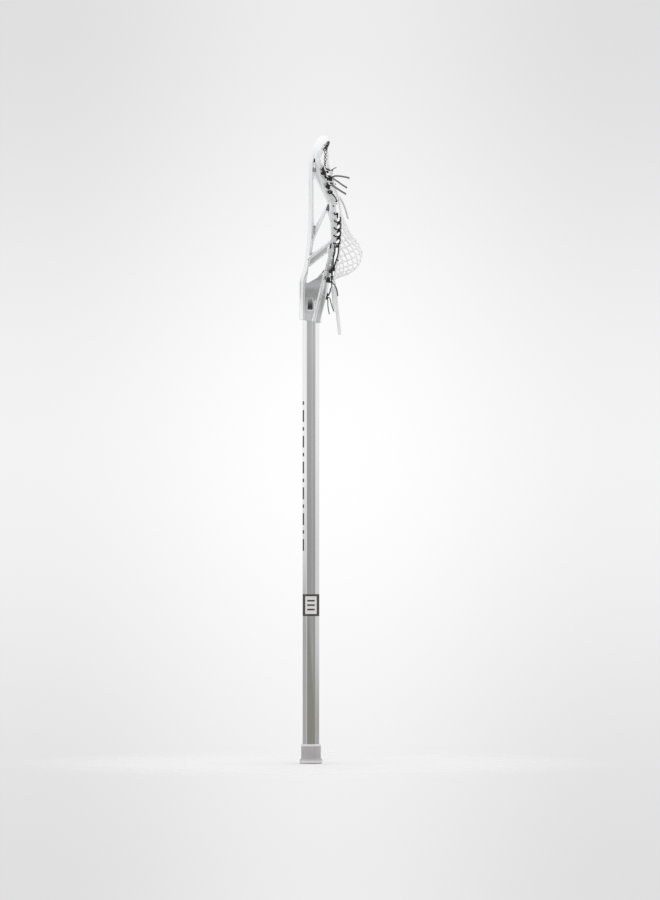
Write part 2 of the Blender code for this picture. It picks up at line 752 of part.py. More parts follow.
def build():
    for obj in list(bpy.data.objects):
        bpy.data.objects.remove(obj)
    make_shaft()
    make_butt_cap()
    make_head_frame()
    make_head_screw()
    make_ball_stop_pad()
    make_pocket_mesh()
    make_side_strings()
    make_top_string()
    make_bottom_string()
    for index in range(len(SHOOTING_HOLES)):
        make_shooting_string(index)
    make_tails()


build()
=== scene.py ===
"""A field lacrosse stick: the finished look of its head, strings, mesh pocket, shaft and cap.

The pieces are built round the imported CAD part, in its frame: metres, +Z up along the shaft, the open
face of the head towards -Y and the pocket towards +Y. Lengths below are in millimetres, apart from the
routes of the loose ends, which are in metres.
"""

from math import acos, copysign, cos, pi, radians, sin, tan

import bmesh
import bpy
import numpy as np
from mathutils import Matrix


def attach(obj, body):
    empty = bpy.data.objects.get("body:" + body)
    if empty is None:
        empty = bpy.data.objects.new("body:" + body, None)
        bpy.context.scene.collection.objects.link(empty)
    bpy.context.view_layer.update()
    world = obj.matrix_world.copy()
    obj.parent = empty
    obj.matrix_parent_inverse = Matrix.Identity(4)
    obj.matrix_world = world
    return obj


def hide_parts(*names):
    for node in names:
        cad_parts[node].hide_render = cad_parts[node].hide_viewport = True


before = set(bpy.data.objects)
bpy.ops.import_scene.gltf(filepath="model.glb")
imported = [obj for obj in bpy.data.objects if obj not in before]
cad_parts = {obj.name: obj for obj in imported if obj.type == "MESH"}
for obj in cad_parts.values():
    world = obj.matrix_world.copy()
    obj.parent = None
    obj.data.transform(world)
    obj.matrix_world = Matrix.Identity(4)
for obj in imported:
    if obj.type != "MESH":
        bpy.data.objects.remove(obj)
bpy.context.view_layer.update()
MM = 0.001

# ---- Camera

CAMERA_DISTANCE = 12.0
CAMERA_Y, CAMERA_Z = 0.0310, 0.5102
VIEW_HEIGHT = 1.467  # height of the frame at the stick
SENSOR = 36


def add_object(name, data):
    obj = bpy.data.objects.new(name, data)
    bpy.context.collection.objects.link(obj)
    return obj


camera = add_object("camera", bpy.data.cameras.new("camera"))
camera.location = (CAMERA_DISTANCE, CAMERA_Y, CAMERA_Z)
camera.rotation_euler = (pi / 2, 0, pi / 2)
camera.data.sensor_width = SENSOR
camera.data.lens = SENSOR * CAMERA_DISTANCE / VIEW_HEIGHT
camera.data.clip_end = 100
bpy.context.scene.camera = camera

# ---- The CAD part's outlines, repeated

GAP = 0.3
SHAFT_BOTTOM, SHAFT_TOP = 4, 766
SHAFT_WIDTH, SHAFT_DEPTH = 25.4, 27.2
SIDE_FLAT, FRONT_FLAT = 13.9, 12.8
SHAFT_WALL = 1.5
PLAN = [
    (16, 712), (16, 735), (19, 755), (25, 772), (33.5, 790), (39, 808), (42, 835), (45, 865),
    (52, 900), (63.5, 933), (74, 962), (77.5, 980), (73, 997), (58, 1009), (32, 1016.5), (0, 1019),
]
FRONT_EDGE = [
    (712, -18.6), (783, -18.5), (792, -16.2), (804, -11.8), (817, -10), (840, -7), (866, -5),
    (900, -4), (976, -3.5), (988, -1.6), (1000, 3), (1011, 8.5), (1019, 14.5),
]
BACK_EDGE = [
    (712, 14), (730, 18), (763, 26), (787, 31), (812, 36), (840, 40.5), (877, 42.4), (905, 41.3),
    (920, 38), (935, 32.8), (950, 28.5), (966, 24), (977, 17), (985, 15), (997, 16.5), (1007, 20.5),
    (1019, 28),
]
NECK_LEVELS = [(712, 17.2), (735, 17.2), (755, 17.2), (772, 18.5), (788, 22), (802, 26)]
MOUTH_FRONT, MOUTH_BACK = 722.5, 716.5
RAIL, WEB = 3.2, 1.8
RAIL_WIDTH, RIB_WIDTH, FLANGE_WIDTH = 7.3, 4.5, 8.5
SCOOP_START, SCOOP_FULL = 972, 1000
SCOOP_SECTION = [
    (0.8, 0), (2, 0.08), (2.8, 0.2), (3.2, 0.36), (3.2, 0.52), (3.1, 0.66), (2.8, 0.78), (2.2, 0.88),
    (1.4, 0.96), (0.4, 1), (-9.6, 1), (-10.2, 0.91), (-9.6, 0.82), (-3.4, 0.76), (-3.2, 0.62),
    (-3.2, 0.48), (-3, 0.32), (-2.6, 0.2), (-1.8, 0.08), (-0.8, 0),
]
LIP_MIDDLE, LIP_THICKNESS = -6.2, 2.4
STOP_LINE = [(-22, 770), (-9, 770.5), (3, 777.5), (15, 786), (26, 800), (40, 822)]
STOP_RADIUS = 55
PAD_THICKNESS = 4
PAD_FRONT, PAD_BACK = (-8, 18.5), (22, 26)
HOLE_INSET, HOLE_PITCH = 4.2, 12
FIRST_HOLE, SIDE_HOLES, LOW_HOLE = 786.5, 16, 762.5
SCOOP_OFFSETS = [HOLE_PITCH * (k - 4.5) for k in range(10)]
SCREW_HEIGHT, SCREW_HOLE = 743, 4.8
CUT_BEYOND = 12  # how far cuts in the sidewalls reach outside their rails
POCKET_MIDDLE = [
    (29, 1004), (29, 975), (34, 935), (44, 909), (64, 865), (79, 843), (83, 832), (78, 812),
    (64, 799), (44, 791), (37, 787),
]
POCKET_TOP, POCKET_BOTTOM = 996, 791
POCKET_BEHIND, POCKET_LEAST, POCKET_INSIDE, POCKET_ROUND = 6.6, 28, 3.5, 2.2
STRING, LACE = 2.2, 3


def unit(vector):
    return vector / np.linalg.norm(vector)


def distances(points):
    """How far along a line each of its points lies."""
    return np.concatenate([[0], np.cumsum(np.linalg.norm(np.diff(points, axis=0), axis=1))])


def directions(points):
    along = np.gradient(points, axis=0)
    return along / np.linalg.norm(along, axis=1)[:, None]


def circle(count):
    return [2 * pi * k / count for k in range(count)]


def hermite(t, span, start, end, slope_in, slope_out):
    """A cubic from start to end with the slopes given at both."""
    return (
        (2 * t**3 - 3 * t**2 + 1) * start
        + (t**3 - 2 * t**2 + t) * span * slope_in
        + (3 * t**2 - 2 * t**3) * end
        + (t**3 - t**2) * span * slope_out
    )


def smooth_curve(points, step):
    """Points about step apart on a smooth curve through the given ones."""
    points = np.array(points, float)
    chord = distances(points)
    slopes = np.gradient(points, chord, axis=0)
    places = np.linspace(0, chord[-1], max(2, round(chord[-1] / step)) + 1)
    i = np.clip(np.searchsorted(chord, places, side="right") - 1, 0, len(points) - 2)
    span = (chord[i + 1] - chord[i])[:, None]
    t = (places - chord[i])[:, None] / span
    return hermite(t, span, points[i], points[i + 1], slopes[i], slopes[i + 1])


def table_curve(table):
    """A function that reads a smooth curve through (place, value) rows without overshooting."""
    places, values = np.array(table, float).T
    rise = np.diff(values) / np.diff(places)
    slopes = np.zeros(len(values))
    for i in range(1, len(values) - 1):
        if rise[i - 1] * rise[i] > 0:
            slopes[i] = 2 * rise[i - 1] * rise[i] / (rise[i - 1] + rise[i])
    slopes[0], slopes[-1] = rise[0], rise[-1]

    def read(place):
        i = int(np.clip(np.searchsorted(places, place) - 1, 0, len(rise) - 1))
        span = places[i + 1] - places[i]
        t = min(1, max(0, (place - places[i]) / span))
        return float(hermite(t, span, values[i], values[i + 1], slopes[i], slopes[i + 1]))

    return read


front_edge = table_curve(FRONT_EDGE)
back_edge = table_curve(BACK_EDGE)
stop_height = table_curve(STOP_LINE)


def plan_line(step):
    """The head's centre line, (x, z), from the right neck over the scoop to the left neck."""
    line = smooth_curve(PLAN + [(-x, z) for x, z in PLAN[-2:-4:-1]], step)
    right = line[line[:, 0] > step / 3]
    return np.vstack([right, [[0, PLAN[-1][1]]], right[::-1] * [-1, 1]])


def plan_normals(line):
    along = directions(line)
    return np.column_stack([along[:, 1], -along[:, 0]])


FINE_PLAN = plan_line(0.5)
FINE_NORMALS = plan_normals(FINE_PLAN)
SCOOP_MIDDLE = len(FINE_PLAN) // 2


def side_at(height):
    """(x, z) and the outward direction of the right sidewall's centre line at a height."""
    i = int(np.abs(FINE_PLAN[:SCOOP_MIDDLE, 1] - height).argmin())
    return FINE_PLAN[i], FINE_NORMALS[i]


def placed(centre, normal, outward, y):
    return np.array([centre[0] + normal[0] * outward, y, centre[1] + normal[1] * outward])


def side_point(height, outward, y):
    """A point outward from the right sidewall's centre line."""
    return placed(*side_at(height), outward, y)


def beside(height, outward, behind):
    """A point by the right sidewall's flange, behind its back edge by a distance."""
    return side_point(height, outward, back_edge(height) + behind)


def scoop_point(across, outward, behind):
    """A point by the scoop at an x, behind its back edge by a distance."""
    over = FINE_PLAN[:, 1] > SCOOP_FULL
    i = int(np.where(over, np.abs(FINE_PLAN[:, 0] - across), np.inf).argmin())
    return placed(FINE_PLAN[i], FINE_NORMALS[i], outward, back_edge(FINE_PLAN[i][1]) + behind)


def hole_height(k):
    return FIRST_HOLE + HOLE_PITCH * k


def cut_corners(corners, radius, steps):
    """An outline with each corner replaced by an arc of steps straight pieces."""
    outline = []
    corners = [np.array(c, float) for c in corners]
    for i, corner in enumerate(corners):
        before, after = unit(corners[i - 1] - corner), unit(corners[(i + 1) % len(corners)] - corner)
        half = acos(max(-1, min(1, float(before @ after)))) / 2
        reach = radius / tan(half)
        start, end = corner + before * reach, corner + after * reach
        centre = corner + unit(before + after) * (radius / sin(half))
        for k in range(steps + 1):
            spoke = (start - centre) * (1 - k / steps) + (end - centre) * (k / steps)
            outline.append(centre + spoke * (radius / np.linalg.norm(spoke)))
    return np.array(outline)


def octagon(outset, hollow=0, corner=1.4, steps=3, pieces=1):
    """The shaft's outline moved out by outset, its faces hollowed by a little if asked."""
    x, y = SHAFT_WIDTH / 2 + outset, SHAFT_DEPTH / 2 + outset
    grow = outset * tan(pi / 8)
    a, b = FRONT_FLAT / 2 + grow, SIDE_FLAT / 2 + grow
    corners = [(x, -b), (x, b), (a, y), (-a, y), (-x, b), (-x, -b), (-a, -y), (a, -y)]
    rounded = cut_corners(corners, corner, steps)
    outline = []
    for i, point in enumerate(rounded):
        outline.append(point)
        if i % (steps + 1) == steps and pieces > 1:
            other = rounded[(i + 1) % len(rounded)]
            inward = -unit(point + other)
            for k in range(1, pieces):
                t = k / pieces
                outline.append(point + (other - point) * t + inward * hollow * 4 * t * (1 - t))
    return np.array(outline)


# ---- Meshes


def loft(sections, closed=False):
    """Points and faces of a solid skinned over sections with the same number of points."""
    count, rings = len(sections[0]), len(sections)
    points = np.array(sections, float).reshape(-1, 3)
    r = np.arange(rings if closed else rings - 1)[:, None]
    i = np.arange(count)[None, :]
    low, high, j = r * count, (r + 1) % rings * count, (i + 1) % count
    faces = np.stack([low + i, low + j, high + j, high + i], -1).reshape(-1, 4).tolist()
    if not closed:
        faces.append(list(range(count))[::-1])
        faces.append(list(range((rings - 1) * count, rings * count)))
    return points, faces


def joined(solids):
    points, faces, start = [], [], 0
    for solid_points, solid_faces in solids:
        points.append(np.array(solid_points, float))
        faces += [[start + i for i in face] for face in solid_faces]
        start += len(solid_points)
    return np.vstack(points), faces


def prism(outline, axis, low, high):
    """A solid from a flat outline, stretched from low to high along x or z."""
    order = {"x": (2, 0, 1), "z": (0, 1, 2)}[axis]
    sections = [[[(*p, s)[i] for i in order] for p in outline] for s in (low, high)]
    return loft(sections)


def rod(centre, direction, length, diameter, sides=16):
    centre, direction = np.array(centre, float), unit(np.array(direction, float))
    across = unit(np.cross(direction, [0, 1, 0] if abs(direction[1]) < 0.9 else [1, 0, 0]))
    other = np.cross(direction, across)
    rim = np.array([across * cos(a) + other * sin(a) for a in circle(sides)]) * diameter / 2
    return loft([centre + direction * end + rim for end in (-length / 2, length / 2)])


def mirrored_solid(solid):
    return solid[0] * [-1, 1, 1], [face[::-1] for face in solid[1]]


def both_sides(solid):
    return [solid, mirrored_solid(solid)]


def cover(obj, material, sharp=None):
    """One material and smooth shading; edges sharper than an angle stay sharp."""
    obj.data.materials.clear()
    obj.data.materials.append(material)
    obj.data.shade_smooth()
    if sharp:
        obj.data.set_sharp_from_angle(angle=radians(sharp))


def add_mesh(name, solid, material=None, sharp=None):
    """A mesh object from points in millimetres, its faces turned outwards, covered now or later."""
    points, faces = solid
    mesh = bpy.data.meshes.new(name)
    mesh.from_pydata((np.array(points) * MM).tolist(), [], faces)
    work = bmesh.new()
    work.from_mesh(mesh)
    bmesh.ops.recalc_face_normals(work, faces=work.faces)
    work.to_mesh(mesh)
    work.free()
    obj = add_object(name, mesh)
    if material:
        cover(obj, material, sharp)
    return obj


def settle(obj):
    """Applies an object's modifiers to its mesh."""
    view = bpy.context.evaluated_depsgraph_get()
    mesh = bpy.data.meshes.new_from_object(obj.evaluated_get(view))
    obj.modifiers.clear()
    obj.data = mesh


def combine(obj, operation, solids):
    """Adds or cuts away solids or objects, one after another; the objects are used up."""
    for solid in solids:
        helper = solid if isinstance(solid, bpy.types.Object) else add_mesh("helper", solid)
        modifier = obj.modifiers.new("combine", "BOOLEAN")
        modifier.operation, modifier.solver, modifier.object = operation, "EXACT", helper
        settle(obj)
        bpy.data.objects.remove(helper)


def cut(obj, *solids):
    combine(obj, "DIFFERENCE", solids)


def soften(obj, voxel, repeats):
    """Rounds a solid's edges: it gets small even faces and is smoothed."""
    remesh = obj.modifiers.new("remesh", "REMESH")
    remesh.mode, remesh.voxel_size = "VOXEL", voxel * MM
    smooth = obj.modifiers.new("smooth", "SMOOTH")
    smooth.iterations = repeats
    settle(obj)


# ---- Cords

BRAID, WEAVE = 0.16, 0.14  # how deep the threads of a string and of a lace stand in its surface


def sideways(direction):
    return unit(np.cross(direction, [0, 0, 1] if abs(direction[2]) < 0.8 else [1, 0, 0]))


def across_route(route):
    """Two unit vectors across a route at each point, carried along without twist."""
    along = directions(route)
    across = [sideways(along[0])]
    for direction in along[1:]:
        across.append(unit(across[-1] - direction * (across[-1] @ direction)))
    across = np.array(across)
    return across, np.cross(along, across)


def tube(route, diameter, step=1, sides=8, relief=0, strands=4, width=1, tip=1, taper=True):
    """A cord. relief raises a braid on it, width makes it flat, tip swells its end."""
    route = smooth_curve(route, step)
    across, other = across_route(route)
    length = distances(route)
    angles = 2 * pi * np.arange(sides) / sides
    radius = np.full((len(route), sides), diameter / 2)
    if relief:
        wind = length[:, None] * (strands / diameter * 0.62)
        turn = angles[None, :] * strands / 2
        ridges = np.maximum(np.abs(np.cos(turn + wind)), np.abs(np.cos(turn - wind)))
        radius *= 1 + relief * (ridges - 1)
    if taper:
        left = np.minimum(length, length[-1] - length) / (diameter / 2)
        radius *= np.sqrt(np.clip(1 - (1 - np.minimum(left, 1)) ** 2, 0.08, 1))[:, None]
    radius *= (1 + (tip - 1) * np.clip(1 - (length[-1] - length) / diameter, 0, 1))[:, None]
    flat = np.sqrt(width)
    rings = route[:, None, :] + (
        across[:, None, :] * (np.cos(angles) * radius * flat)[:, :, None]
        + other[:, None, :] * (np.sin(angles) * radius / flat)[:, :, None]
    )
    return loft(rings)


def knot(centre, facing, diameter, size=1, turn=0):
    """An overhand knot pulled tight, with its three lobes on the side that it faces."""
    facing = unit(np.array(facing, float))
    across = sideways(facing)
    other = np.cross(facing, across)
    t = np.linspace(0, 2 * pi, 61)
    scale = diameter * 0.5 * size
    u = np.sin(t + turn) + 2 * np.sin(2 * t + turn)
    v = np.cos(t + turn) - 2 * np.cos(2 * t + turn)
    w = -np.sin(3 * t) * 1.1
    route = np.column_stack([u, v, w]) * scale @ np.array([across, other, facing]) + centre
    return tube(route, diameter, 0.6, 10, BRAID, taper=False)


def mirrored(route):
    return [np.array(point) * [-1, 1, 1] for point in route]


# Loose ends, in metres: CAD node, diameter, yarn, slot, and the points of the route
TAILS = [
    ("shooting_tail_thin", 0.0016, "dark_grey", "dark_string",
     [(0.078, 0.028, 0.962), (0.086, 0.033, 0.963), (0.095, 0.0375, 0.9655), (0.106, 0.041, 0.9665)]),
    ("shooting_tail_upper", 0.003, "grey", "grey_lace",
     [(0.077, 0.0375, 0.954), (0.083, 0.046, 0.9536), (0.089, 0.055, 0.952), (0.095, 0.0625, 0.95)]),
    ("shooting_tail_middle", 0.0028, "grey", "grey_lace",
     [(0.079, 0.0355, 0.95), (0.085, 0.043, 0.945), (0.091, 0.051, 0.939), (0.097, 0.0585, 0.934)]),
    ("shooting_tail_lower", 0.0032, "grey", "grey_lace",
     [(0.076, 0.034, 0.9395), (0.082, 0.041, 0.9345), (0.087, 0.049, 0.929), (0.093, 0.057, 0.924)]),
    ("shooting_tail_left", 0.003, "pale", "pale_lace",
     [(-0.062, 0.042, 0.931), (-0.065, 0.05, 0.919), (-0.066, 0.0565, 0.904), (-0.066, 0.0605, 0.889)]),
    ("throat_tail_curved", 0.0024, "dark_grey", "dark_string",
     [(0.037, 0.034, 0.783), (0.044, 0.0385, 0.778), (0.05, 0.042, 0.77), (0.055, 0.0435, 0.76)]),
    ("throat_tail_front", 0.0018, "dark_grey", "dark_string",
     [(0.014, 0.0275, 0.755), (0.021, 0.0275, 0.747), (0.0275, 0.0283, 0.739), (0.034, 0.03, 0.731)]),
    ("throat_tail_back", 0.0018, "dark_grey", "dark_string",
     [(0.018, 0.031, 0.757), (0.025, 0.0325, 0.75), (0.0325, 0.0345, 0.743), (0.04, 0.037, 0.736)]),
    ("throat_lace", 0.006, "white", "white_lace",
     [(-0.004, 0.039, 0.777), (-0.005, 0.0405, 0.762), (-0.005, 0.0418, 0.745),
      (-0.004, 0.0445, 0.722), (-0.003, 0.047, 0.698)]),
    ("throat_lace_short", 0.0055, "white", "white_lace",
     [(0.004, 0.035, 0.775), (0.005, 0.0365, 0.763), (0.0055, 0.0375, 0.749), (0.005, 0.0385, 0.735)]),
]


# ---- Materials


def operation(name):
    """An arithmetic method that adds one Math node."""
    return lambda value, *others: value.nodes.math(name, value, *others)


class Value:
    """An output of a shader node, which can be used like a number."""

    def __init__(self, nodes, socket):
        self.nodes, self.socket = nodes, socket

    def __rsub__(self, other):
        return self.nodes.math("SUBTRACT", other, self)

    __add__ = operation("ADD")
    __sub__ = operation("SUBTRACT")
    __mul__ = operation("MULTIPLY")
    __truediv__ = operation("DIVIDE")
    __lt__ = operation("LESS_THAN")
    __abs__ = operation("ABSOLUTE")


class Nodes:
    """The shader nodes of one material or world, n below, with short calls for the kinds in use."""

    def __init__(self, owner):
        owner.use_nodes = True
        self.owner, self.tree = owner, owner.node_tree
        self.shader = self.tree.nodes.get("Principled BSDF")

    def put(self, socket, value):
        if isinstance(value, Value):
            self.tree.links.new(value.socket, socket)
        else:
            socket.default_value = (*value, 1) if socket.type == "RGBA" else value

    def drive(self, **sockets):
        """Sets or links the shader's sockets, and gives the material."""
        for name, value in sockets.items():
            self.put(self.shader.inputs[name.replace("_", " ")], value)
        return self.owner

    def add(self, kind, inputs=(), **settings):
        """A node with its settings, and its inputs' values by name or number."""
        node = self.tree.nodes.new("ShaderNode" + kind)
        for name, value in settings.items():
            setattr(node, name, value)
        for key, value in dict(inputs).items():
            self.put(node.inputs[key], value)
        return node

    def value(self, kind, inputs=(), output=0, **settings):
        return Value(self, self.add(kind, inputs, **settings).outputs[output])

    def math(self, operation, *values, clamp=False):
        return self.value("Math", enumerate(values), operation=operation, use_clamp=clamp)

    def ramp(self, value, low, high, start=0, end=1):
        """start below low, end above high, and a smooth way between."""
        inputs = enumerate((value, low, high, start, end))
        return self.value("MapRange", inputs, interpolation_type="SMOOTHSTEP")

    def within(self, value, low, high, edge):
        """1 between low and high, 0 outside."""
        return self.ramp(value, low - edge, low + edge) - self.ramp(value, high - edge, high + edge)

    def mix(self, share, a, b):
        return self.value("Mix", {0: share, 6: a, 7: b}, 2, data_type="RGBA")

    def place(self, kind="Object"):
        """A point's x, y and z in metres, or with Generated a direction in the world."""
        split = self.add("SeparateXYZ", {0: self.value("TexCoord", output=kind)})
        return [Value(self, output) for output in split.outputs]

    def noise(self, scale, detail=3, stretch=None):
        where = self.value("TexCoord", output="Object")
        if stretch:
            where = self.value("Mapping", {"Vector": where, "Scale": stretch})
        return self.value("TexNoise", {"Vector": where, "Scale": scale, "Detail": detail})

    def bump(self, height, distance, strength=1):
        return self.value("Bump", {"Height": height, "Distance": distance, "Strength": strength})


def principled(name, **sockets):
    """The nodes of a new material, with values set by socket name."""
    n = Nodes(bpy.data.materials.new(name))
    n.drive(**sockets)
    return n


def plastic_material():
    """Pearl white nylon, shiniest at the throat, with painted shade darkening its deep corners and a painted
    shadow filling the throat's pocket.
    """
    n = principled("moulded_plastic", Coat_Weight=0.2, Coat_Roughness=0.1)
    x, y, z = n.place()
    pearl = n.mix(n.noise(14, 2), (0.88, 0.89, 0.905), (0.92, 0.925, 0.935))
    # painted shade: ambient occlusion darkens the pearl colour towards dark grey in corners, creases and
    # recesses
    crevice_shade_ao = n.value("AmbientOcclusion", {"Distance": 0.008}, "AO", samples=12, only_local=True)
    colour = n.mix(n.ramp(crevice_shade_ao, 0.4, 0.92), (0.16, 0.16, 0.17), pearl)
    # painted shadow: the floor of the throat's pocket is coloured near-black, where shade falls in the hole
    pocket_shadow_mask = (abs(x) < 0.0178) * n.ramp(z, 0.744, 0.759, 1, 0)
    pocket_shadow_mask = pocket_shadow_mask * n.within(z, 0.7395, 0.77, 0.001) * n.within(y, -0.0054, 0.0028, 0.0011)
    return n.drive(
        Base_Color=n.mix(pocket_shadow_mask, colour, (0.12, 0.12, 0.125)),
        Metallic=n.ramp(z, 0.79, 0.9, 0.85, 0.3),
        Roughness=n.ramp(n.noise(60, 4), 0.3, 0.7, 0.15, 0.2),
    )


# Heights on the shaft in metres: printed band, its pale panel, the panel's bars, marks on the front
BAND, PANEL, BARS, MARKS = (0.2396, 0.2755), (0.2432, 0.2719), (0.247, 0.2682), (0.346, 0.598)
BAR_MIDDLE, BAR_PITCH, MARK_PITCH = 0.2504, 0.0036, 0.042


def shaft_material():
    """Brushed anodised aluminium, printed with a dark band and a column of plain marks."""
    n = principled("anodised_aluminium", Anisotropic=0.3)
    _, y, z = n.place()
    band = n.within(z, *BAND, 0.0002)
    panel = n.within(z, *PANEL, 0.0002) * (abs(y) < 0.0092)
    bars = n.math("PINGPONG", z - BAR_MIDDLE, BAR_PITCH) < 0.0014
    bars = bars * n.within(z, *BARS, 0.0002) * (abs(y) < 0.0062)
    rise = n.math("FRACT", (z - MARKS[0]) / MARK_PITCH)
    marks = n.math("MAXIMUM", rise < 0.46, n.within(rise, 0.66, 0.8, 0.002))
    marks = marks * n.within(z, *MARKS, 0.0001) * (y < -0.0112)
    dark = n.math("MAXIMUM", band - panel * (1 - bars), marks, clamp=True)
    ink = n.math("MAXIMUM", band, marks, clamp=True)
    grain = n.noise(40, 3, (30, 30, 0.6))
    metal = n.mix(grain, (0.83, 0.83, 0.835), (0.9, 0.9, 0.9))
    printed = n.mix(dark, (0.72, 0.71, 0.69), (0.055, 0.055, 0.053))
    return n.drive(
        Base_Color=n.mix(ink, metal, printed),
        Metallic=1 - ink,
        Roughness=n.math("MAXIMUM", n.ramp(grain, 0.2, 0.8, 0.07, 0.11), ink * 0.38),
        Normal=n.bump(n.noise(60, 2, (40, 40, 0.4)), 0.00002, 0.3),
    )


def rubber_material():
    """Grey rubber, lighter at its foot and its lip."""
    n = principled("cap_rubber", Specular_IOR_Level=0.35)
    _, _, z = n.place()
    colour = n.mix(n.noise(90, 4), (0.4, 0.385, 0.395), (0.47, 0.455, 0.465))
    lighter_ends = n.math("MAXIMUM", n.ramp(z, 0.0026, 0.006, 1, 0), n.ramp(z, 0.0272, 0.0282))
    return n.drive(
        Base_Color=n.mix(lighter_ends, colour, (0.72, 0.705, 0.715)),
        Roughness=n.ramp(n.noise(300, 3), 0.3, 0.7, 0.62, 0.78),
        Normal=n.bump(n.noise(1500, 3), 0.00006, 0.6),
    )


def foam_material():
    n = principled("stop_foam", Specular_IOR_Level=0.2, Roughness=0.95)
    where = n.value("TexCoord", output="Object")
    cells = n.value("TexVoronoi", {"Vector": where, "Scale": 1100}, "Distance")
    return n.drive(
        Base_Color=n.mix(n.noise(700, 2), (0.03, 0.03, 0.032), (0.06, 0.06, 0.062)),
        Normal=n.bump(cells, 0.0003, 0.7),
    )


def steel_material():
    n = principled("plated_steel", Metallic=1)
    return n.drive(
        Base_Color=n.mix(n.noise(400, 3), (0.5, 0.5, 0.49), (0.62, 0.62, 0.6)),
        Roughness=n.ramp(n.noise(800, 2), 0.3, 0.7, 0.22, 0.38),
    )


def fibre_material(name, dark, light, sheen, relief=0.6):
    """Braided or knitted synthetic yarn: fine threads in the colour and in the surface."""
    n = principled(name, Sheen_Weight=sheen, Specular_IOR_Level=0.3)
    threads = n.noise(1600, 3)
    return n.drive(
        Base_Color=n.mix(threads, dark, light),
        Roughness=n.ramp(threads, 0.2, 0.8, 0.6, 0.85),
        Normal=n.bump(threads, 0.0002, relief),
    )


FIBRES = {
    "black": fibre_material("black_string", (0.008, 0.008, 0.008), (0.028, 0.028, 0.029), 0.1),
    "dark_grey": fibre_material("dark_grey_string", (0.09, 0.09, 0.092), (0.16, 0.16, 0.162), 0.2),
    "grey": fibre_material("grey_lace", (0.13, 0.128, 0.13), (0.22, 0.218, 0.22), 0.2),
    "pale": fibre_material("pale_lace", (0.5, 0.5, 0.5), (0.66, 0.66, 0.66), 0.3),
    "white": fibre_material("white_lace", (0.84, 0.85, 0.85), (0.92, 0.925, 0.93), 0.1),
    "mesh": fibre_material("mesh_cord", (0.89, 0.885, 0.89), (0.95, 0.945, 0.95), 0, 0.2),
}


def finish_piece(obj, node, body="stick"):
    """Attaches a piece to the body that it rides on and hides the CAD part that it stands for."""
    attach(obj, body)
    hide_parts(node)


def make_tails():
    for node, diameter, colour, slot, points in TAILS:
        route = np.array(points) / MM
        wide = diameter / MM
        flat = "lace" in node
        shape = {"strands": 6, "width": 4.6} if flat else {"tip": 1.22}
        solid = tube(route, wide * (0.46 if flat else 1), 0.5, 16, WEAVE, **shape)
        obj = add_mesh(node + "_cord", solid, FIBRES[colour])
        path = smooth_curve(route, 2) * MM
        finish_piece(obj, node)


# ---- Head


def even_outline(outline, outside, inside):
    """The scoop's outline, its outer and inner halves each with a given number of points."""
    halves = []
    for half, count in ((outline[:10], outside), (outline[10:], inside)):
        length = distances(half)
        places = np.linspace(0, length[-1], count)
        halves.append(np.column_stack([np.interp(places, length, half[:, i]) for i in (0, 1)]))
    return np.vstack(halves)


def wall_section(width, solid):
    """The band's section, (outward, distance behind the front edge): sidewall (0) to scoop (1)."""
    front = min(RAIL_WIDTH, 0.42 * width)
    rib = min(RIB_WIDTH, 0.2 * width)
    flange = min(FLANGE_WIDTH, 0.3 * width)
    web_end, rib_end = width - flange - rib, width - flange
    outer = [
        (-1.6, 0), (-0.2, 0.3), (0.9, 0.2 * front), (2.1, 0.5 * front), (RAIL, 0.86 * front),
        (RAIL - 0.3, front), (WEB - 0.6, front + 0.5), (WEB - 0.6, web_end - 0.5),
        (RAIL - 0.5, web_end + 0.2), (RAIL + 0.2, web_end + 0.35 * rib), (RAIL - 0.1, rib_end - 0.25 * rib),
        (1.2, rib_end + 0.2), (1, rib_end + 0.5 * flange), (0.3, width - 0.9), (-0.6, width),
    ]
    inner = [
        (-2, width), (-2.6, width - 0.6), (-2.6, rib_end + 0.3), (-RAIL, rib_end - 0.4),
        (-RAIL, web_end + 0.6), (-WEB, web_end - 0.4), (-WEB, front + 0.4), (-RAIL, front - 0.8),
        (-RAIL, 1.6), (-2.6, 0.3),
    ]
    wall = np.array(outer + inner)
    scoop = even_outline(np.array(SCOOP_SECTION) * [1, width], len(outer), len(inner))
    return wall * (1 - solid) + scoop * solid


def head_wall():
    line = plan_line(3)
    sections = []
    for centre, normal in zip(line, plan_normals(line)):
        front, back = front_edge(centre[1]), back_edge(centre[1])
        solid = min(1, max(0, (centre[1] - SCOOP_START) / (SCOOP_FULL - SCOOP_START)))
        section = wall_section(back - front, solid)
        sections.append([placed(centre, normal, outward, front + y) for outward, y in section])
    return loft(sections)


def saddle_row(y, half, columns, above=0):
    """Points across the ball stop's saddle at a y, or above it."""
    return [(x, y, stop_height(y) + x * x / (2 * STOP_RADIUS) + above)
            for x in np.linspace(-half, half, columns + 1)]


def neck_block():
    sections = []
    for height, back in NECK_LEVELS:
        half = side_at(height)[0][0] + 0.6
        front = front_edge(height) + 0.4
        outline = [(half, front), (half, back), (-half, back), (-half, front)]
        sections.append([(*p, height) for p in cut_corners(outline, 4, 4)])
    return loft(sections)


def ball_space():
    """Everything above the ball stop's saddle."""
    rows, columns, half, top = 16, 18, 45, 860
    sections = []
    for y in np.linspace(STOP_LINE[0][0], STOP_LINE[-1][0], rows + 1):
        sections.append(saddle_row(y, half, columns) + [(half, y, top), (-half, y, top)])
    return loft(sections)


def wall_solid(outline, depths):
    """A solid over an outline of (y, height) on the right wall, down to depths below its rails."""
    inner = [side_point(height, RAIL - depth, y) for (y, height), depth in zip(outline, depths)]
    return loft([inner, [side_point(height, RAIL + CUT_BEYOND, y) for y, height in outline]])


def beam(start, end, section, rows=8):
    """A strut along the right wall between two (y, height) places; section is (across, outward)."""
    start, along = np.array(start, float), np.array(end, float) - start
    side = unit(np.array([-along[1], along[0]]))
    sections = []
    for k in range(rows + 1):
        places = [(start + along * k / rows + side * across, outward) for across, outward in section]
        sections.append([side_point(height, outward, y) for (y, height), outward in places])
    return loft(sections)


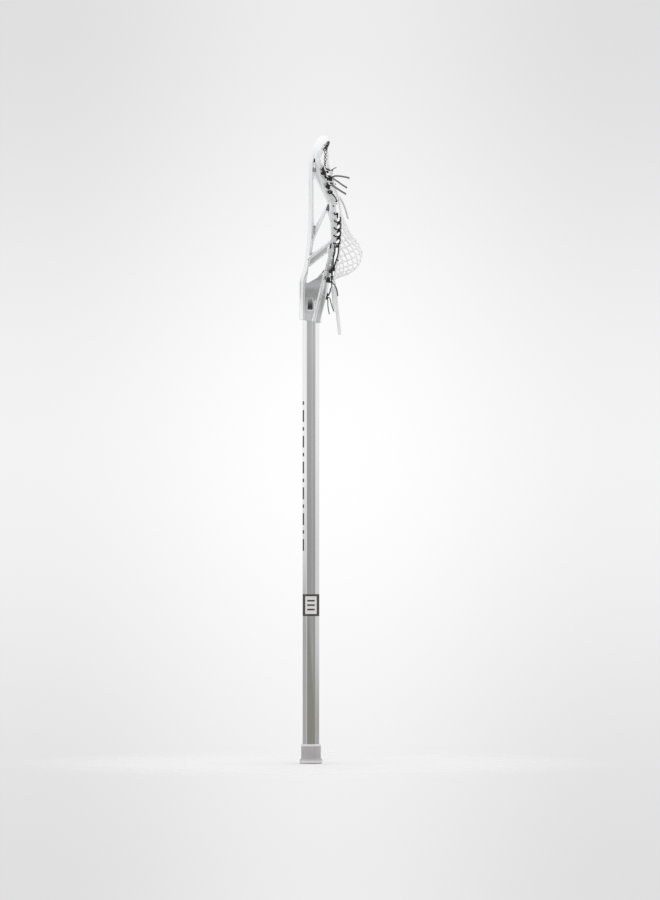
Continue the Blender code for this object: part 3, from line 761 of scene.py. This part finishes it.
# Windows in the sidewalls, corners as (y, height), and the radius of their corners
WINDOWS = [
    ([(3.8, 962), (27.5, 912), (5.2, 870)], 1.6),
    ([(26.2, 902), (31.3, 882), (33, 853), (1.2, 829.5), (5, 853)], 1.6),
    ([(29, 834.5), (27, 821), (21, 800), (14, 793), (-8.5, 780), (-3.5, 809)], 2),
]
# Recesses: outline as (y, height), and how deep each corner lies below the rails
RECESSES = [
    ([(2.6, 962), (8.6, 960), (7.4, 972), (5.9, 986), (4.4, 976)], [4.1, 4.1, 4, 3, 4]),
    ([(4.2, 874), (7.2, 874), (6.6, 866), (5.6, 857.5), (4.2, 864)], [4.1, 4.1, 4, 2.8, 4]),
    ([(24.2, 900), (29.8, 898), (29.6, 905), (28.4, 912)], [4.1, 4.1, 4, 2.8]),
    ([(30.2, 836), (32.6, 838), (34, 847), (31.4, 844.5)], [4.1, 4.1, 3.8, 3.8]),
]
THROAT_RECESS = (
    [(-8.8, 777), (4, 785), (14, 790.5), (21, 797.5), (17, 782), (12.4, 767.5), (6.6, 751), (4.8, 736),
     (4.6, 708), (-8.8, 708)],
    [1.6, 1.7, 1.6, 1.5, 2.4, 3, 3.2, 3.2, 2.6, 2.6],
)
THROAT_POCKET = ([(-5.9, 757.6), (3.4, 757.6), (2.6, 738.6), (-4.8, 738.6)], [4.2, 4.2, 6, 6])
# The rounded boss above the throat's pocket: where it is, and the rings of its dome as (rise, share)
BOSS_Y, BOSS_HEIGHT, BOSS_RADIUS = -1.6, 766.5, 8.4
BOSS_RINGS = [(-4.5, 1), (-1.1, 1), (-0.75, 0.85), (-0.5, 0.6), (-0.4, 0.3)]
# Struts between the windows: both ends as (y, height), and the section as (across, outward)
STRUTS = [
    ((4.8, 853), (29.5, 914),
     [(-3.6, -1.8), (3.6, -1.8), (3.6, 0.6), (1.9, 1.4), (0.7, 3.6), (-1.2, 3.6), (-2.2, 1.5), (-3.6, 0.8)]),
    ((-3.5, 817.5), (33, 846),
     [(-8, -1.8), (7.6, -1.8), (7.6, 2), (6.6, 0.4), (5.2, 0.4), (4.6, 3.6), (2.4, 3.7), (1.2, 2.6),
      (-8, 0.4)]),
]
MOUTH_CUT, MOUTH_BOTTOM = 40, 690  # half width and lowest height of what is cut away below the mouth
EYE = 3.4  # diameter of the string holes
HEAD_VOXEL, HEAD_SMOOTHING = 0.5, 12


def boss_dome():
    dome = []
    for rise, share in BOSS_RINGS:
        ring = []
        for a in circle(24):
            height = BOSS_HEIGHT + BOSS_RADIUS * share * sin(a)
            ring.append(side_point(height, RAIL - 1.4 + rise, BOSS_Y + BOSS_RADIUS * share * cos(a)))
        dome.append(ring)
    return loft(dome)


def screw_hole(y, length):
    return rod((0, y, SCREW_HEIGHT), (0, 1, 0), length, SCREW_HOLE, 24)


def make_head():
    head = add_mesh("moulded_head", head_wall())
    block = add_mesh("block", neck_block())
    cut(block, ball_space())
    combine(head, "UNION", [block])
    for strut in STRUTS:
        combine(head, "UNION", both_sides(beam(*strut)))
    cut(head, *both_sides(wall_solid(*THROAT_RECESS)))
    combine(head, "UNION", both_sides(boss_dome()))
    for recess in [THROAT_POCKET, *RECESSES]:
        cut(head, *both_sides(wall_solid(*recess)))
    for outline, radius in WINDOWS:
        cut(head, prism(cut_corners(outline, radius, 4), "x", -95, 95))
    slope, middle = (MOUTH_BACK - MOUTH_FRONT) / 36, (MOUTH_FRONT + MOUTH_BACK) / 2
    mouth = [(-MOUTH_CUT, MOUTH_BOTTOM), (MOUTH_CUT, MOUTH_BOTTOM)]
    mouth += [(y, middle + y * slope) for y in (MOUTH_CUT, -MOUTH_CUT)]
    bore = prism(octagon(GAP), "z", MOUTH_BOTTOM, SHAFT_TOP + 0.4)
    cut(head, prism(mouth, "x", -50, 50), bore, screw_hole(18, 12))
    soften(head, HEAD_VOXEL, HEAD_SMOOTHING)
    cut(head, string_holes())
    cover(head, plastic_material(), 50)
    finish_piece(head, "head_frame")


def string_holes():
    rods = []
    for height in [LOW_HOLE] + [hole_height(k) for k in range(SIDE_HOLES)]:
        across, up = side_at(height)[1]
        rods += both_sides(rod(beside(height, 0, -HOLE_INSET), (across, 0, up), 14, EYE))
    for x in SCOOP_OFFSETS:
        middle = scoop_point(x, LIP_MIDDLE, -LIP_THICKNESS / 2)
        rods.append(rod(middle, (0, 1, 0), 2.5 * LIP_THICKNESS, EYE))
    return joined(rods)


PAD_VOXEL, PAD_SMOOTHING = 0.6, 6


def make_stop_pad():
    rows, columns = 24, 36
    sections = []
    for y, half in np.linspace(PAD_FRONT, PAD_BACK, rows + 1):
        floor = saddle_row(y, half, columns, 2 * GAP)
        roof = [(x, y, z + PAD_THICKNESS) for x, y, z in reversed(floor)]
        sections.append(floor + roof)
    pad = add_mesh("foam_stop", loft(sections))
    soften(pad, PAD_VOXEL, PAD_SMOOTHING)
    cover(pad, foam_material())
    finish_piece(pad, "ball_stop_pad")


# ---- Shaft, cap and screw

END_SHRINK = 1 - 0.25 / 13  # the shaft's cut ends are rounded in by this share
RIBS, FIRST_RIB, RIB_PITCH = 12, 8.6, 1.55
# Outlines as (height, outset from the shaft) of the cap's flange, one rib, its lip and its inside
FLANGE = [(0, 2.6), (0.25, 3.5), (0.7, 4.4), (1.4, 4.85), (3.6, 4.9), (5, 4.8), (5.9, 4.4), (6.6, 3.6),
          (7.4, 2.7), (8.2, 2.25)]
RIB = [(0, 1.95), (0.35, 2.28), (0.75, 2.36), (1.15, 2.28), (1.45, 1.98)]
LIP = [(27.5, 1.9), (27.8, 2.3), (28.6, 2.5), (29.8, 2.5), (30.6, 2.3), (30.95, 1.8), (31, 1.2)]
CUP = [(30.6, GAP + 0.1), (SHAFT_BOTTOM - GAP + 0.5, GAP), (SHAFT_BOTTOM - GAP, -0.6)]
# Outlines as (y, radius) of the screw's point, one turn of its thread, and its head
POINT = [(8.7, 0.3), (9.2, 1), (10.4, 1.75)]
TURNS, FIRST_TURN, TURN_PITCH = 7, 10.6, 0.9
TURN = [(0, 1.62), (0.32, 2), (0.42, 2), (0.74, 1.62)]
SCREW_HEAD = [(17.45, 1.9), (17.5, 3.75), (17.8, 4), (18.6, 3.95), (19.4, 3.65), (19.95, 3),
              (20.25, 2), (20.38, 0.8)]
RECESS_DEPTHS = [(18.6, 0.45), (20.6, 1)]  # y, and the cross recess's size there


def make_shaft():
    outer = octagon(0, 0.28, 1.6, 4, 10)
    inner = octagon(-SHAFT_WALL, -0.1, 1, 4, 10)
    levels = [SHAFT_BOTTOM + 0.02, SHAFT_BOTTOM + 0.3, *np.linspace(12, 758, 60)]
    levels += [SHAFT_TOP - 0.3, SHAFT_TOP - 0.02]
    sections = []
    for z in levels:
        shrink = END_SHRINK if z in (levels[0], levels[-1]) else 1
        sections.append([(x * shrink, y * shrink, z) for x, y in outer])
    sections += [[(*p, z) for p in inner] for z in reversed(levels)]
    shaft = add_mesh("octagonal_shaft", loft(sections, closed=True))
    cut(shaft, screw_hole(SHAFT_DEPTH / 2, 8))
    cover(shaft, shaft_material(), 40)
    finish_piece(shaft, "shaft")


def repeated(outline, count, first, pitch):
    """An outline's rows again and again, one pitch further each time."""
    return [(first + k * pitch + place, size) for k in range(count) for place, size in outline]


def make_cap():
    """The rubber cup: a wide flange at its foot, fine ribs round it and a thin lip at its top."""
    profile = FLANGE + repeated(RIB, RIBS, FIRST_RIB, RIB_PITCH) + LIP + CUP
    sections = [[(*p, z) for p in octagon(outset, -0.15, 1.4, 4, 5)] for z, outset in profile]
    cap = add_mesh("rubber_cap", loft(sections), rubber_material(), 60)
    finish_piece(cap, "butt_cap", "cap")


def make_screw():
    """A pan-head screw with a cross recess and a threaded shank."""
    profile = POINT + repeated(TURN, TURNS, FIRST_TURN, TURN_PITCH) + SCREW_HEAD
    screw = add_mesh("pan_screw", loft([
        [(r * cos(a), y, SCREW_HEIGHT + r * sin(a)) for a in circle(40)] for y, r in profile
    ]))
    for wide, tall in ((0.55, 2.1), (2.1, 0.55)):
        outline = [(wide, tall), (-wide, tall), (-wide, -tall), (wide, -tall)]
        cut(screw, loft([
            [(x * size, y, SCREW_HEIGHT + z * size) for x, z in outline] for y, size in RECESS_DEPTHS
        ]))
    cover(screw, steel_material(), 40)
    finish_piece(screw, "head_screw", "screw")


# ---- Pocket


def pocket_edge(share):
    height = POCKET_TOP + (POCKET_BOTTOM - POCKET_TOP) * share
    y = max(back_edge(height) + POCKET_BEHIND, POCKET_LEAST)
    return side_point(height, -POCKET_INSIDE, y)


POCKET_LINE = smooth_curve([(0, y, z) for y, z in POCKET_MIDDLE], 0.5)
EDGE_SHARES = np.linspace(0, 1, 401)
EDGE_POINTS = np.array([pocket_edge(share) for share in EDGE_SHARES])
EDGE_POINTS[1:-1] = (EDGE_POINTS[:-2] + EDGE_POINTS[1:-1] + EDGE_POINTS[2:]) / 3


def pocket_point(across, share):
    """A point of the mesh: across from -1 to 1, share from the scoop (0) to the throat (1)."""
    edge = np.array([np.interp(share, EDGE_SHARES, EDGE_POINTS[:, i]) for i in range(3)])
    place = share * (len(POCKET_LINE) - 1)
    low = min(int(place), len(POCKET_LINE) - 2)
    middle = POCKET_LINE[low] + (POCKET_LINE[low + 1] - POCKET_LINE[low]) * (place - low)
    sag = 1 - abs(across) ** POCKET_ROUND
    return np.array([edge[0] * across, *(edge[1:] + (middle[1:] - edge[1:]) * sag)])


def pocket_normal(across, share):
    step = 0.02
    a, b = max(-1, across - step), min(1, across + step)
    c, d = max(0, share - step), min(1, share + step)
    sideways_run = pocket_point(b, share) - pocket_point(a, share)
    return unit(np.cross(sideways_run, pocket_point(across, d) - pocket_point(across, c)))


MESH_CORD = 1.9
MESH_COLUMNS = 15  # cells across the pocket, an odd number so that its halves mirror
MESH_ROWS, ROW_STEPS = 17, 10  # cells down it, and points of a cord in each
MESH_HEMS = [0, 0.008, 0.016, 0.024, 0.976, 0.984, 0.992, 1]  # shares where cords cross its ends
SWING, LIFT = 0.43, 0.25  # how far a cord waves sideways, in cells, and out of the mesh


def even_across(share):
    """Across values at a share, and how far along the mesh's width each lies, from 0 to 1."""
    steps = np.linspace(-1, 1, 49)
    girth = distances([pocket_point(u, share) for u in steps])
    return steps, girth / girth[-1]


def make_pocket():
    """The knitted mesh: cords that wave down the pocket and meet their neighbours in turn."""
    rows = MESH_ROWS * ROW_STEPS
    grid = [even_across(share) for share in np.linspace(0, 1, 61)]
    solids = []
    for column in range(MESH_COLUMNS + 1):
        route = []
        for r in range(rows + 1):
            share = r / rows
            phase = pi * (2 * r / ROW_STEPS + column)
            swing = SWING * copysign(abs(cos(phase)) ** 0.8, cos(phase))
            place = min(max((column + swing) / MESH_COLUMNS, 0.004), 0.996)
            steps, girth = grid[round(share * 60)]
            across = float(np.interp(place, girth, steps))
            lift = LIFT * sin(phase)
            route.append(pocket_point(across, share) + pocket_normal(across, share) * lift)
        solids.append(tube(route, MESH_CORD, 1.1, 6))
    for side in (-1, 1):
        edge = [pocket_point(side, share) for share in np.linspace(0, 1, 60)]
        solids.append(tube(edge, MESH_CORD * 1.9, 1.2, 8, 0.2))
    for share in MESH_HEMS:
        end = [pocket_point(across, share) for across in np.linspace(-1, 1, 40)]
        solids.append(tube(end, MESH_CORD * 1.1, 1.2, 8))
    for x, y in ((-4, 39), (4, 35)):
        hanger = [pocket_point(x / 30, 1), (x, y + 0.6, 783), (x, y, 776)]
        solids.append(tube(hanger, MESH_CORD * 1.4, 1, 8))
    net = add_mesh("knitted_pocket", joined(solids), FIBRES["mesh"])
    finish_piece(net, "pocket_mesh")


# ---- Strings

OUTSIDE = 1 + STRING / 2 + GAP
INSIDE = -2.6 - STRING / 2 - GAP
RING_HOLE, RUN_HOLE, WHIP_HOLES = 12, 10, [9, 8, 7, 6, 5]
TOP_STRING = 1.4


def by_flange(rows, start=OUTSIDE):
    """Points by the right flange, from rows of height, how far beyond start, and how far behind."""
    return [beside(height, start + out, behind) for height, out, behind in rows]


def side_string_route():
    """A run down to the first hole, a bar of stitch at five holes, then a run to the knots."""
    top = hole_height(RING_HOLE)
    route = by_flange([(top - 1, 0.8, -4), (top - 5, 0.3, -0.6), (top - 10, 0, 1.6), (top - 14, 0, 2.2)])
    route += by_flange([(top - 18, 0, 1.6), (hole_height(RUN_HOLE) + 4, -0.4, -3)], INSIDE)
    for k in WHIP_HOLES:
        height = hole_height(k)
        reach = 0.4 if k == WHIP_HOLES[0] else 5.2
        route += [beside(height + 0.6, INSIDE, -HOLE_INSET), beside(height, 0, -HOLE_INSET)]
        bar = [(height - 0.6, 0, 0.6 - HOLE_INSET), (height - 1.8, 0.3, -1), (height - 0.2, 0, reach)]
        route += by_flange(bar)
        route += [beside(height - 0.6, -2, reach + 1.2), beside(height - 5, INSIDE - 0.6, 1)]
    route.append(beside(843, INSIDE, 1 - HOLE_INSET))
    return route + by_flange([
        (841, 0, -1.4), (830, 0.3, -1), (824, 0.6, -1.6), (816, 0.8, -0.4), (809, 1.2, 0.4), (805, 2, 0.6),
    ])


def run_beside():
    """The stitch's second line: outside the mesh's edge, through every bar, down to the knots."""
    rows = [(889, -1, 4.2)]
    for k in WHIP_HOLES[1:]:
        rows += [(hole_height(k) + 4.5, -0.4, 6.4), (hole_height(k) - 0.5, 1.2, 4.6)]
    rows += [(838, 0.3, 4.6), (829, 0.4, 5), (820, 0.8, 4), (812, 1.2, 2.6), (806, 1.6, 2.6)]
    return by_flange(rows)


def string_tube(route, diameter=STRING, step=0.55, **more):
    return tube(route, diameter, step, 12, BRAID, **more)


def spur(start, end):
    """A short cut end that stands out of a knot."""
    return string_tube([start, (start + end) / 2 + (0.4, 0, 0.3), end], STRING, 0.5, tip=1.15)


def add_string(name, parts, node):
    finish_piece(add_mesh(name, joined(parts), FIBRES["black"]), node)


def make_side_strings():
    ring = beside(hole_height(RING_HOLE) - 1, OUTSIDE + 1.2, -3.4)
    around = [
        ring + (0.6 * sin(2 * a), 3.4 * cos(a), 2.1 * sin(a))
        for a in np.linspace(0, 2 * pi, 13)
    ]
    first, second = by_flange([(806, 2.2, 1.2), (801.5, 2.6, -1.6)])
    parts = [
        string_tube(side_string_route()),
        string_tube(run_beside()),
        string_tube(around, STRING, 0.5, taper=False),
        knot(first, (1, 0.3, 0), STRING, 0.8),
        knot(second, (1, 0.2, 0.1), STRING, 0.85, 0.6),
        spur(*by_flange([(820, 1, 4), (818, 3, 8)])),
        spur(second, second + (2, 2.6, -6)),
    ]
    add_string("whip_string_right", parts, "sidewall_string_right")
    left = [mirrored_solid(part) for part in parts]
    add_string("whip_string_left", left, "sidewall_string_left")


# One turn of the top string through the scoop's lip: outward, behind its back edge, share of a pitch
CLEAR = TOP_STRING / 2 + GAP
LIP_TURN = [
    (LIP_MIDDLE, CLEAR, 0), (LIP_MIDDLE, -LIP_THICKNESS / 2, 0),
    (LIP_MIDDLE - 0.2, -LIP_THICKNESS - CLEAR, 0), (-9.8, -LIP_THICKNESS - CLEAR, 0.1),
    (-12.8, -LIP_THICKNESS / 2, 0.25), (-10.6, CLEAR, 0.5),
]


def make_top_string():
    """Loops through the scoop's lip, with both ends wound round the mesh's edge to a knot."""
    loops = []
    for x in SCOOP_OFFSETS:
        for outward, behind, share in LIP_TURN:
            loops.append(scoop_point(x + HOLE_PITCH * share, outward, behind))
    side = [side_point(966, 4.6, 19.5)]
    for k in range(13):
        a = k * pi / 2.6
        y = 22.5 + 1.7 * sin(a) + 0.16 * k
        side.append(side_point(973 + k * 2.1, 1.2 + 1.5 * cos(a), y))
    side.append(side_point(1002, -3, 25.5))
    parts = [string_tube(mirrored(side) + loops + side[::-1], TOP_STRING)]
    end = knot(side[0], (1, 0.2, 0), 1.6, 0.8)
    other = knot(side[0] * [-1, 1, 1], (-1, 0.2, 0), 1.6, 0.8)
    add_string("scoop_string", parts + [end, other], "top_string")


def make_bottom_string():
    route = mirrored([beside(790, -4.5, 2.5), beside(788, -9, 3.2)]) + [
        (-12, 33.5, 782.5), (-8, 34, 776.5), (-1, 31.8, 772.5), (8, 31, 768), (14, 29, 763.5),
        (17, 26.5, 761),
    ]
    throat = beside(787, OUTSIDE + 2.4, -2.6)
    low_knot = (16.5, 25.4, 757.5)
    parts = [
        string_tube(route),
        knot(route[0], (-0.3, 1, 0), STRING, 0.9),
        knot((17.5, 26.2, 763), (1, 0.4, 0), STRING, 0.8),
        knot(low_knot, (1, 0.3, 0.2), STRING, 0.7, 1),
        knot(throat, (1, 0.2, 0), STRING, 1, 0.4),
        knot(throat + (-1, 0.6, 2.4), (1, 0.1, 0.4), STRING, 0.7, 1.4),
        string_tube([throat, throat + (-1, 3, -2.2), (37.5, 34.4, 782.6)]),
        string_tube([throat, beside(788, 0, -3.2), beside(790, -5, 2), beside(790, -7.5, 5)]),
        string_tube([low_knot, (17.5, 28.5, 758.4), (18, 31, 757)], 1.8),
    ]
    add_string("throat_string", parts, "bottom_string")


# Shooting laces: hole, share down the mesh, outer knot's (y, height) and size, where loose ends leave it
SHOOTING_LACES = [
    (15, 0.165, (20.5, 960.5), 1, [(78, 28, 962)]),
    (14, 0.215, (30.5, 951.5), 1, [(77, 37.5, 954), (79, 35.5, 950)]),
    (13, 0.268, (27.5, 939), 0.95, [(76, 34, 939.5)]),
]
LACE_LIFT = 0.9 + LACE / 2 + 2 * GAP
LEFT_TAIL = (-62, 42, 931)


def lace_end(start, middle, end):
    return tube([start, middle, end], LACE * 0.7, 0.6, 12, WEAVE)


def make_shooting_strings():
    for index, (hole, share, (knot_y, knot_height), size, ends) in enumerate(SHOOTING_LACES):
        height = hole_height(hole)
        place = side_point(knot_height, 1 + LACE + 1.6, knot_y)
        half = [
            place,
            beside(height - 1, 2.6, -HOLE_INSET),
            beside(height, -1, -HOLE_INSET),
            beside(height - 1.5, -6, -HOLE_INSET + 2),
        ]
        for k, u in enumerate((0.86, 0.7, 0.5, 0.3, 0.15)):
            wave = LACE_LIFT if k % 2 == 0 else LACE_LIFT - 0.7
            half.append(pocket_point(u, share) + pocket_normal(u, share) * wave)
        middle = [pocket_point(0, share) + pocket_normal(0, share) * LACE_LIFT]
        parts = [tube(half + middle + mirrored(half[::-1]), LACE, 0.6, 14, WEAVE)]
        parts += both_sides(knot(place, (1, 0.2, 0), LACE * 0.78, size, index))
        second = place + (0.8, 1.2, -1.6)
        parts += both_sides(knot(second, (1, 0.5, 0.5), LACE * 0.7, 0.72 * size, index + 1))
        parts += [lace_end(place, (place + end) / 2 + (1, 0, 0.3), end) for end in ends]
        if hole == SHOOTING_LACES[-1][0]:
            left = place * [-1, 1, 1]
            parts.append(lace_end(left, left + (3, 6, -2), LEFT_TAIL))
        add_string(f"shooting_lace_{index + 1}", parts, f"shooting_string_{index + 1}")


# ---- Floor and light

FLOOR_RADIUS, FLOOR_HEIGHT = 1.5, -0.0006
CARD_AWAY = 1.5  # metres from the stick to each card
# Side cards: name, side, and the two steps in which each brightens upwards
SIDE_CARDS = [
    ("left_card", -1, (0.17, 0.36, 0.42, 0.76), (0.36, 0.5, 0, 0.21)),
    ("right_card", 1, (0, 0.2, 0.4, 0.69), (0.2, 0.7, 0, 0.27)),
]


def add_face(name, corners, material):
    mesh = bpy.data.meshes.new(name)
    mesh.from_pydata(corners, [], [list(range(len(corners)))])
    mesh.materials.append(material)
    return add_object(name, mesh)


def make_floor():
    """A round pale floor that fades into the backdrop."""
    n = principled(
        "floor", Base_Color=(0.78, 0.78, 0.78), Roughness=0.9, Specular_IOR_Level=0.1
    )
    x, y, _ = n.place()
    material = n.drive(Alpha=n.ramp(n.math("SQRT", x * x + y * y), 0.1, 0.55, 1, 0))
    rim = [(FLOOR_RADIUS * cos(a), FLOOR_RADIUS * sin(a), FLOOR_HEIGHT) for a in circle(96)]
    floor = add_face("floor", rim, material)
    floor.visible_glossy = False


def make_world():
    """Soft even light all round, with a backdrop that is brightest at the height of the camera."""
    n = Nodes(bpy.data.worlds.new("studio"))
    n.tree.nodes.clear()
    x, y, z = n.place("Generated")
    soft = (1.1 - n.ramp(x, 0.1, 0.9) * 0.25) * n.ramp(z, -0.9, 0.6, 0.75, 1.1)
    shine = n.ramp(z, -0.8, 0.2, 0.8, 0.98) - n.ramp(x * y, 0.3, 0.46) * 0.5
    backdrop = n.ramp(abs(z), 0, 0.062, 1, 0.845) - n.ramp(abs(y), 0, 0.04, 0, 0.105)
    glossy, seen = (n.value("LightPath", output=f"Is {ray} Ray") for ray in ("Glossy", "Camera"))
    strength = n.mix(seen, n.mix(glossy, soft, shine), backdrop)
    light = n.value("Background", {"Color": (1, 1, 1), "Strength": strength})
    n.add("OutputWorld", {0: light})
    bpy.context.scene.world = n.owner


def card(name, corners, paint):
    """A glowing card that only shows in reflections. paint(n, y, z) gives its colour."""
    n = Nodes(bpy.data.materials.new(name))
    n.tree.nodes.clear()
    _, y, z = n.place()
    glow = n.value("Emission", {"Color": paint(n, y, z)})
    n.add("OutputMaterial", {0: glow})
    obj = add_face(name, corners, n.owner)
    obj.visible_camera = obj.visible_diffuse = obj.visible_shadow = obj.visible_transmission = False


def front_paint(n, y, z):
    """Greys in steps of height, with one narrow bright strip and an olive corner low down."""
    level = n.ramp(z, 0.3, 0.62, 0.335, 0.425) + n.ramp(z, 0.6, 0.75, 0, 0.08)
    level = level - n.ramp(z, 0.75, 0.79, 0, 0.24) + n.ramp(z, 0.8, 0.98, 0, 0.64)
    level = level + n.within(y, -0.105, -0.06, 0.015) * n.ramp(z, 0.1, 0.5, 0.08, 0.24)
    colour = n.mix(n.ramp(z - y * 0.41, 0.12, 0.16), (0.262, 0.262, 0.23), level)
    colour = n.mix(n.ramp(z, -0.45, -0.1), n.ramp(z, -1.1, -0.4, 0.36, 0.18), colour)
    edge = n.math("MAXIMUM", n.ramp(abs(y), 0.8, 1.1), n.ramp(z, 1, 1.15))
    return n.mix(edge, colour, (0.95, 0.95, 0.95))


def side_paint(first, second):
    return lambda n, y, z: n.ramp(z, *first) + n.ramp(z, *second)


def make_cards():
    wide, low, high = 1.1, -2.4, 1.2
    front = [(CARD_AWAY, y, z) for y, z in ((-wide, low), (wide, low), (wide, high), (-wide, high))]
    card("front_card", front, front_paint)
    half, low, high = 0.5, -0.25, 0.9
    corners = [(-half, low), (half, low), (half, high), (-half, high)]
    for name, side, *steps in SIDE_CARDS:
        card(name, [(x, side * CARD_AWAY, z) for x, z in corners], side_paint(*steps))


make_tails()
make_head()
make_stop_pad()
make_shaft()
make_cap()
make_screw()
make_pocket()
make_side_strings()
make_top_string()
make_bottom_string()
make_shooting_strings()
make_floor()
make_world()
make_cards()
bpy.context.scene.view_settings.view_transform = "Standard"
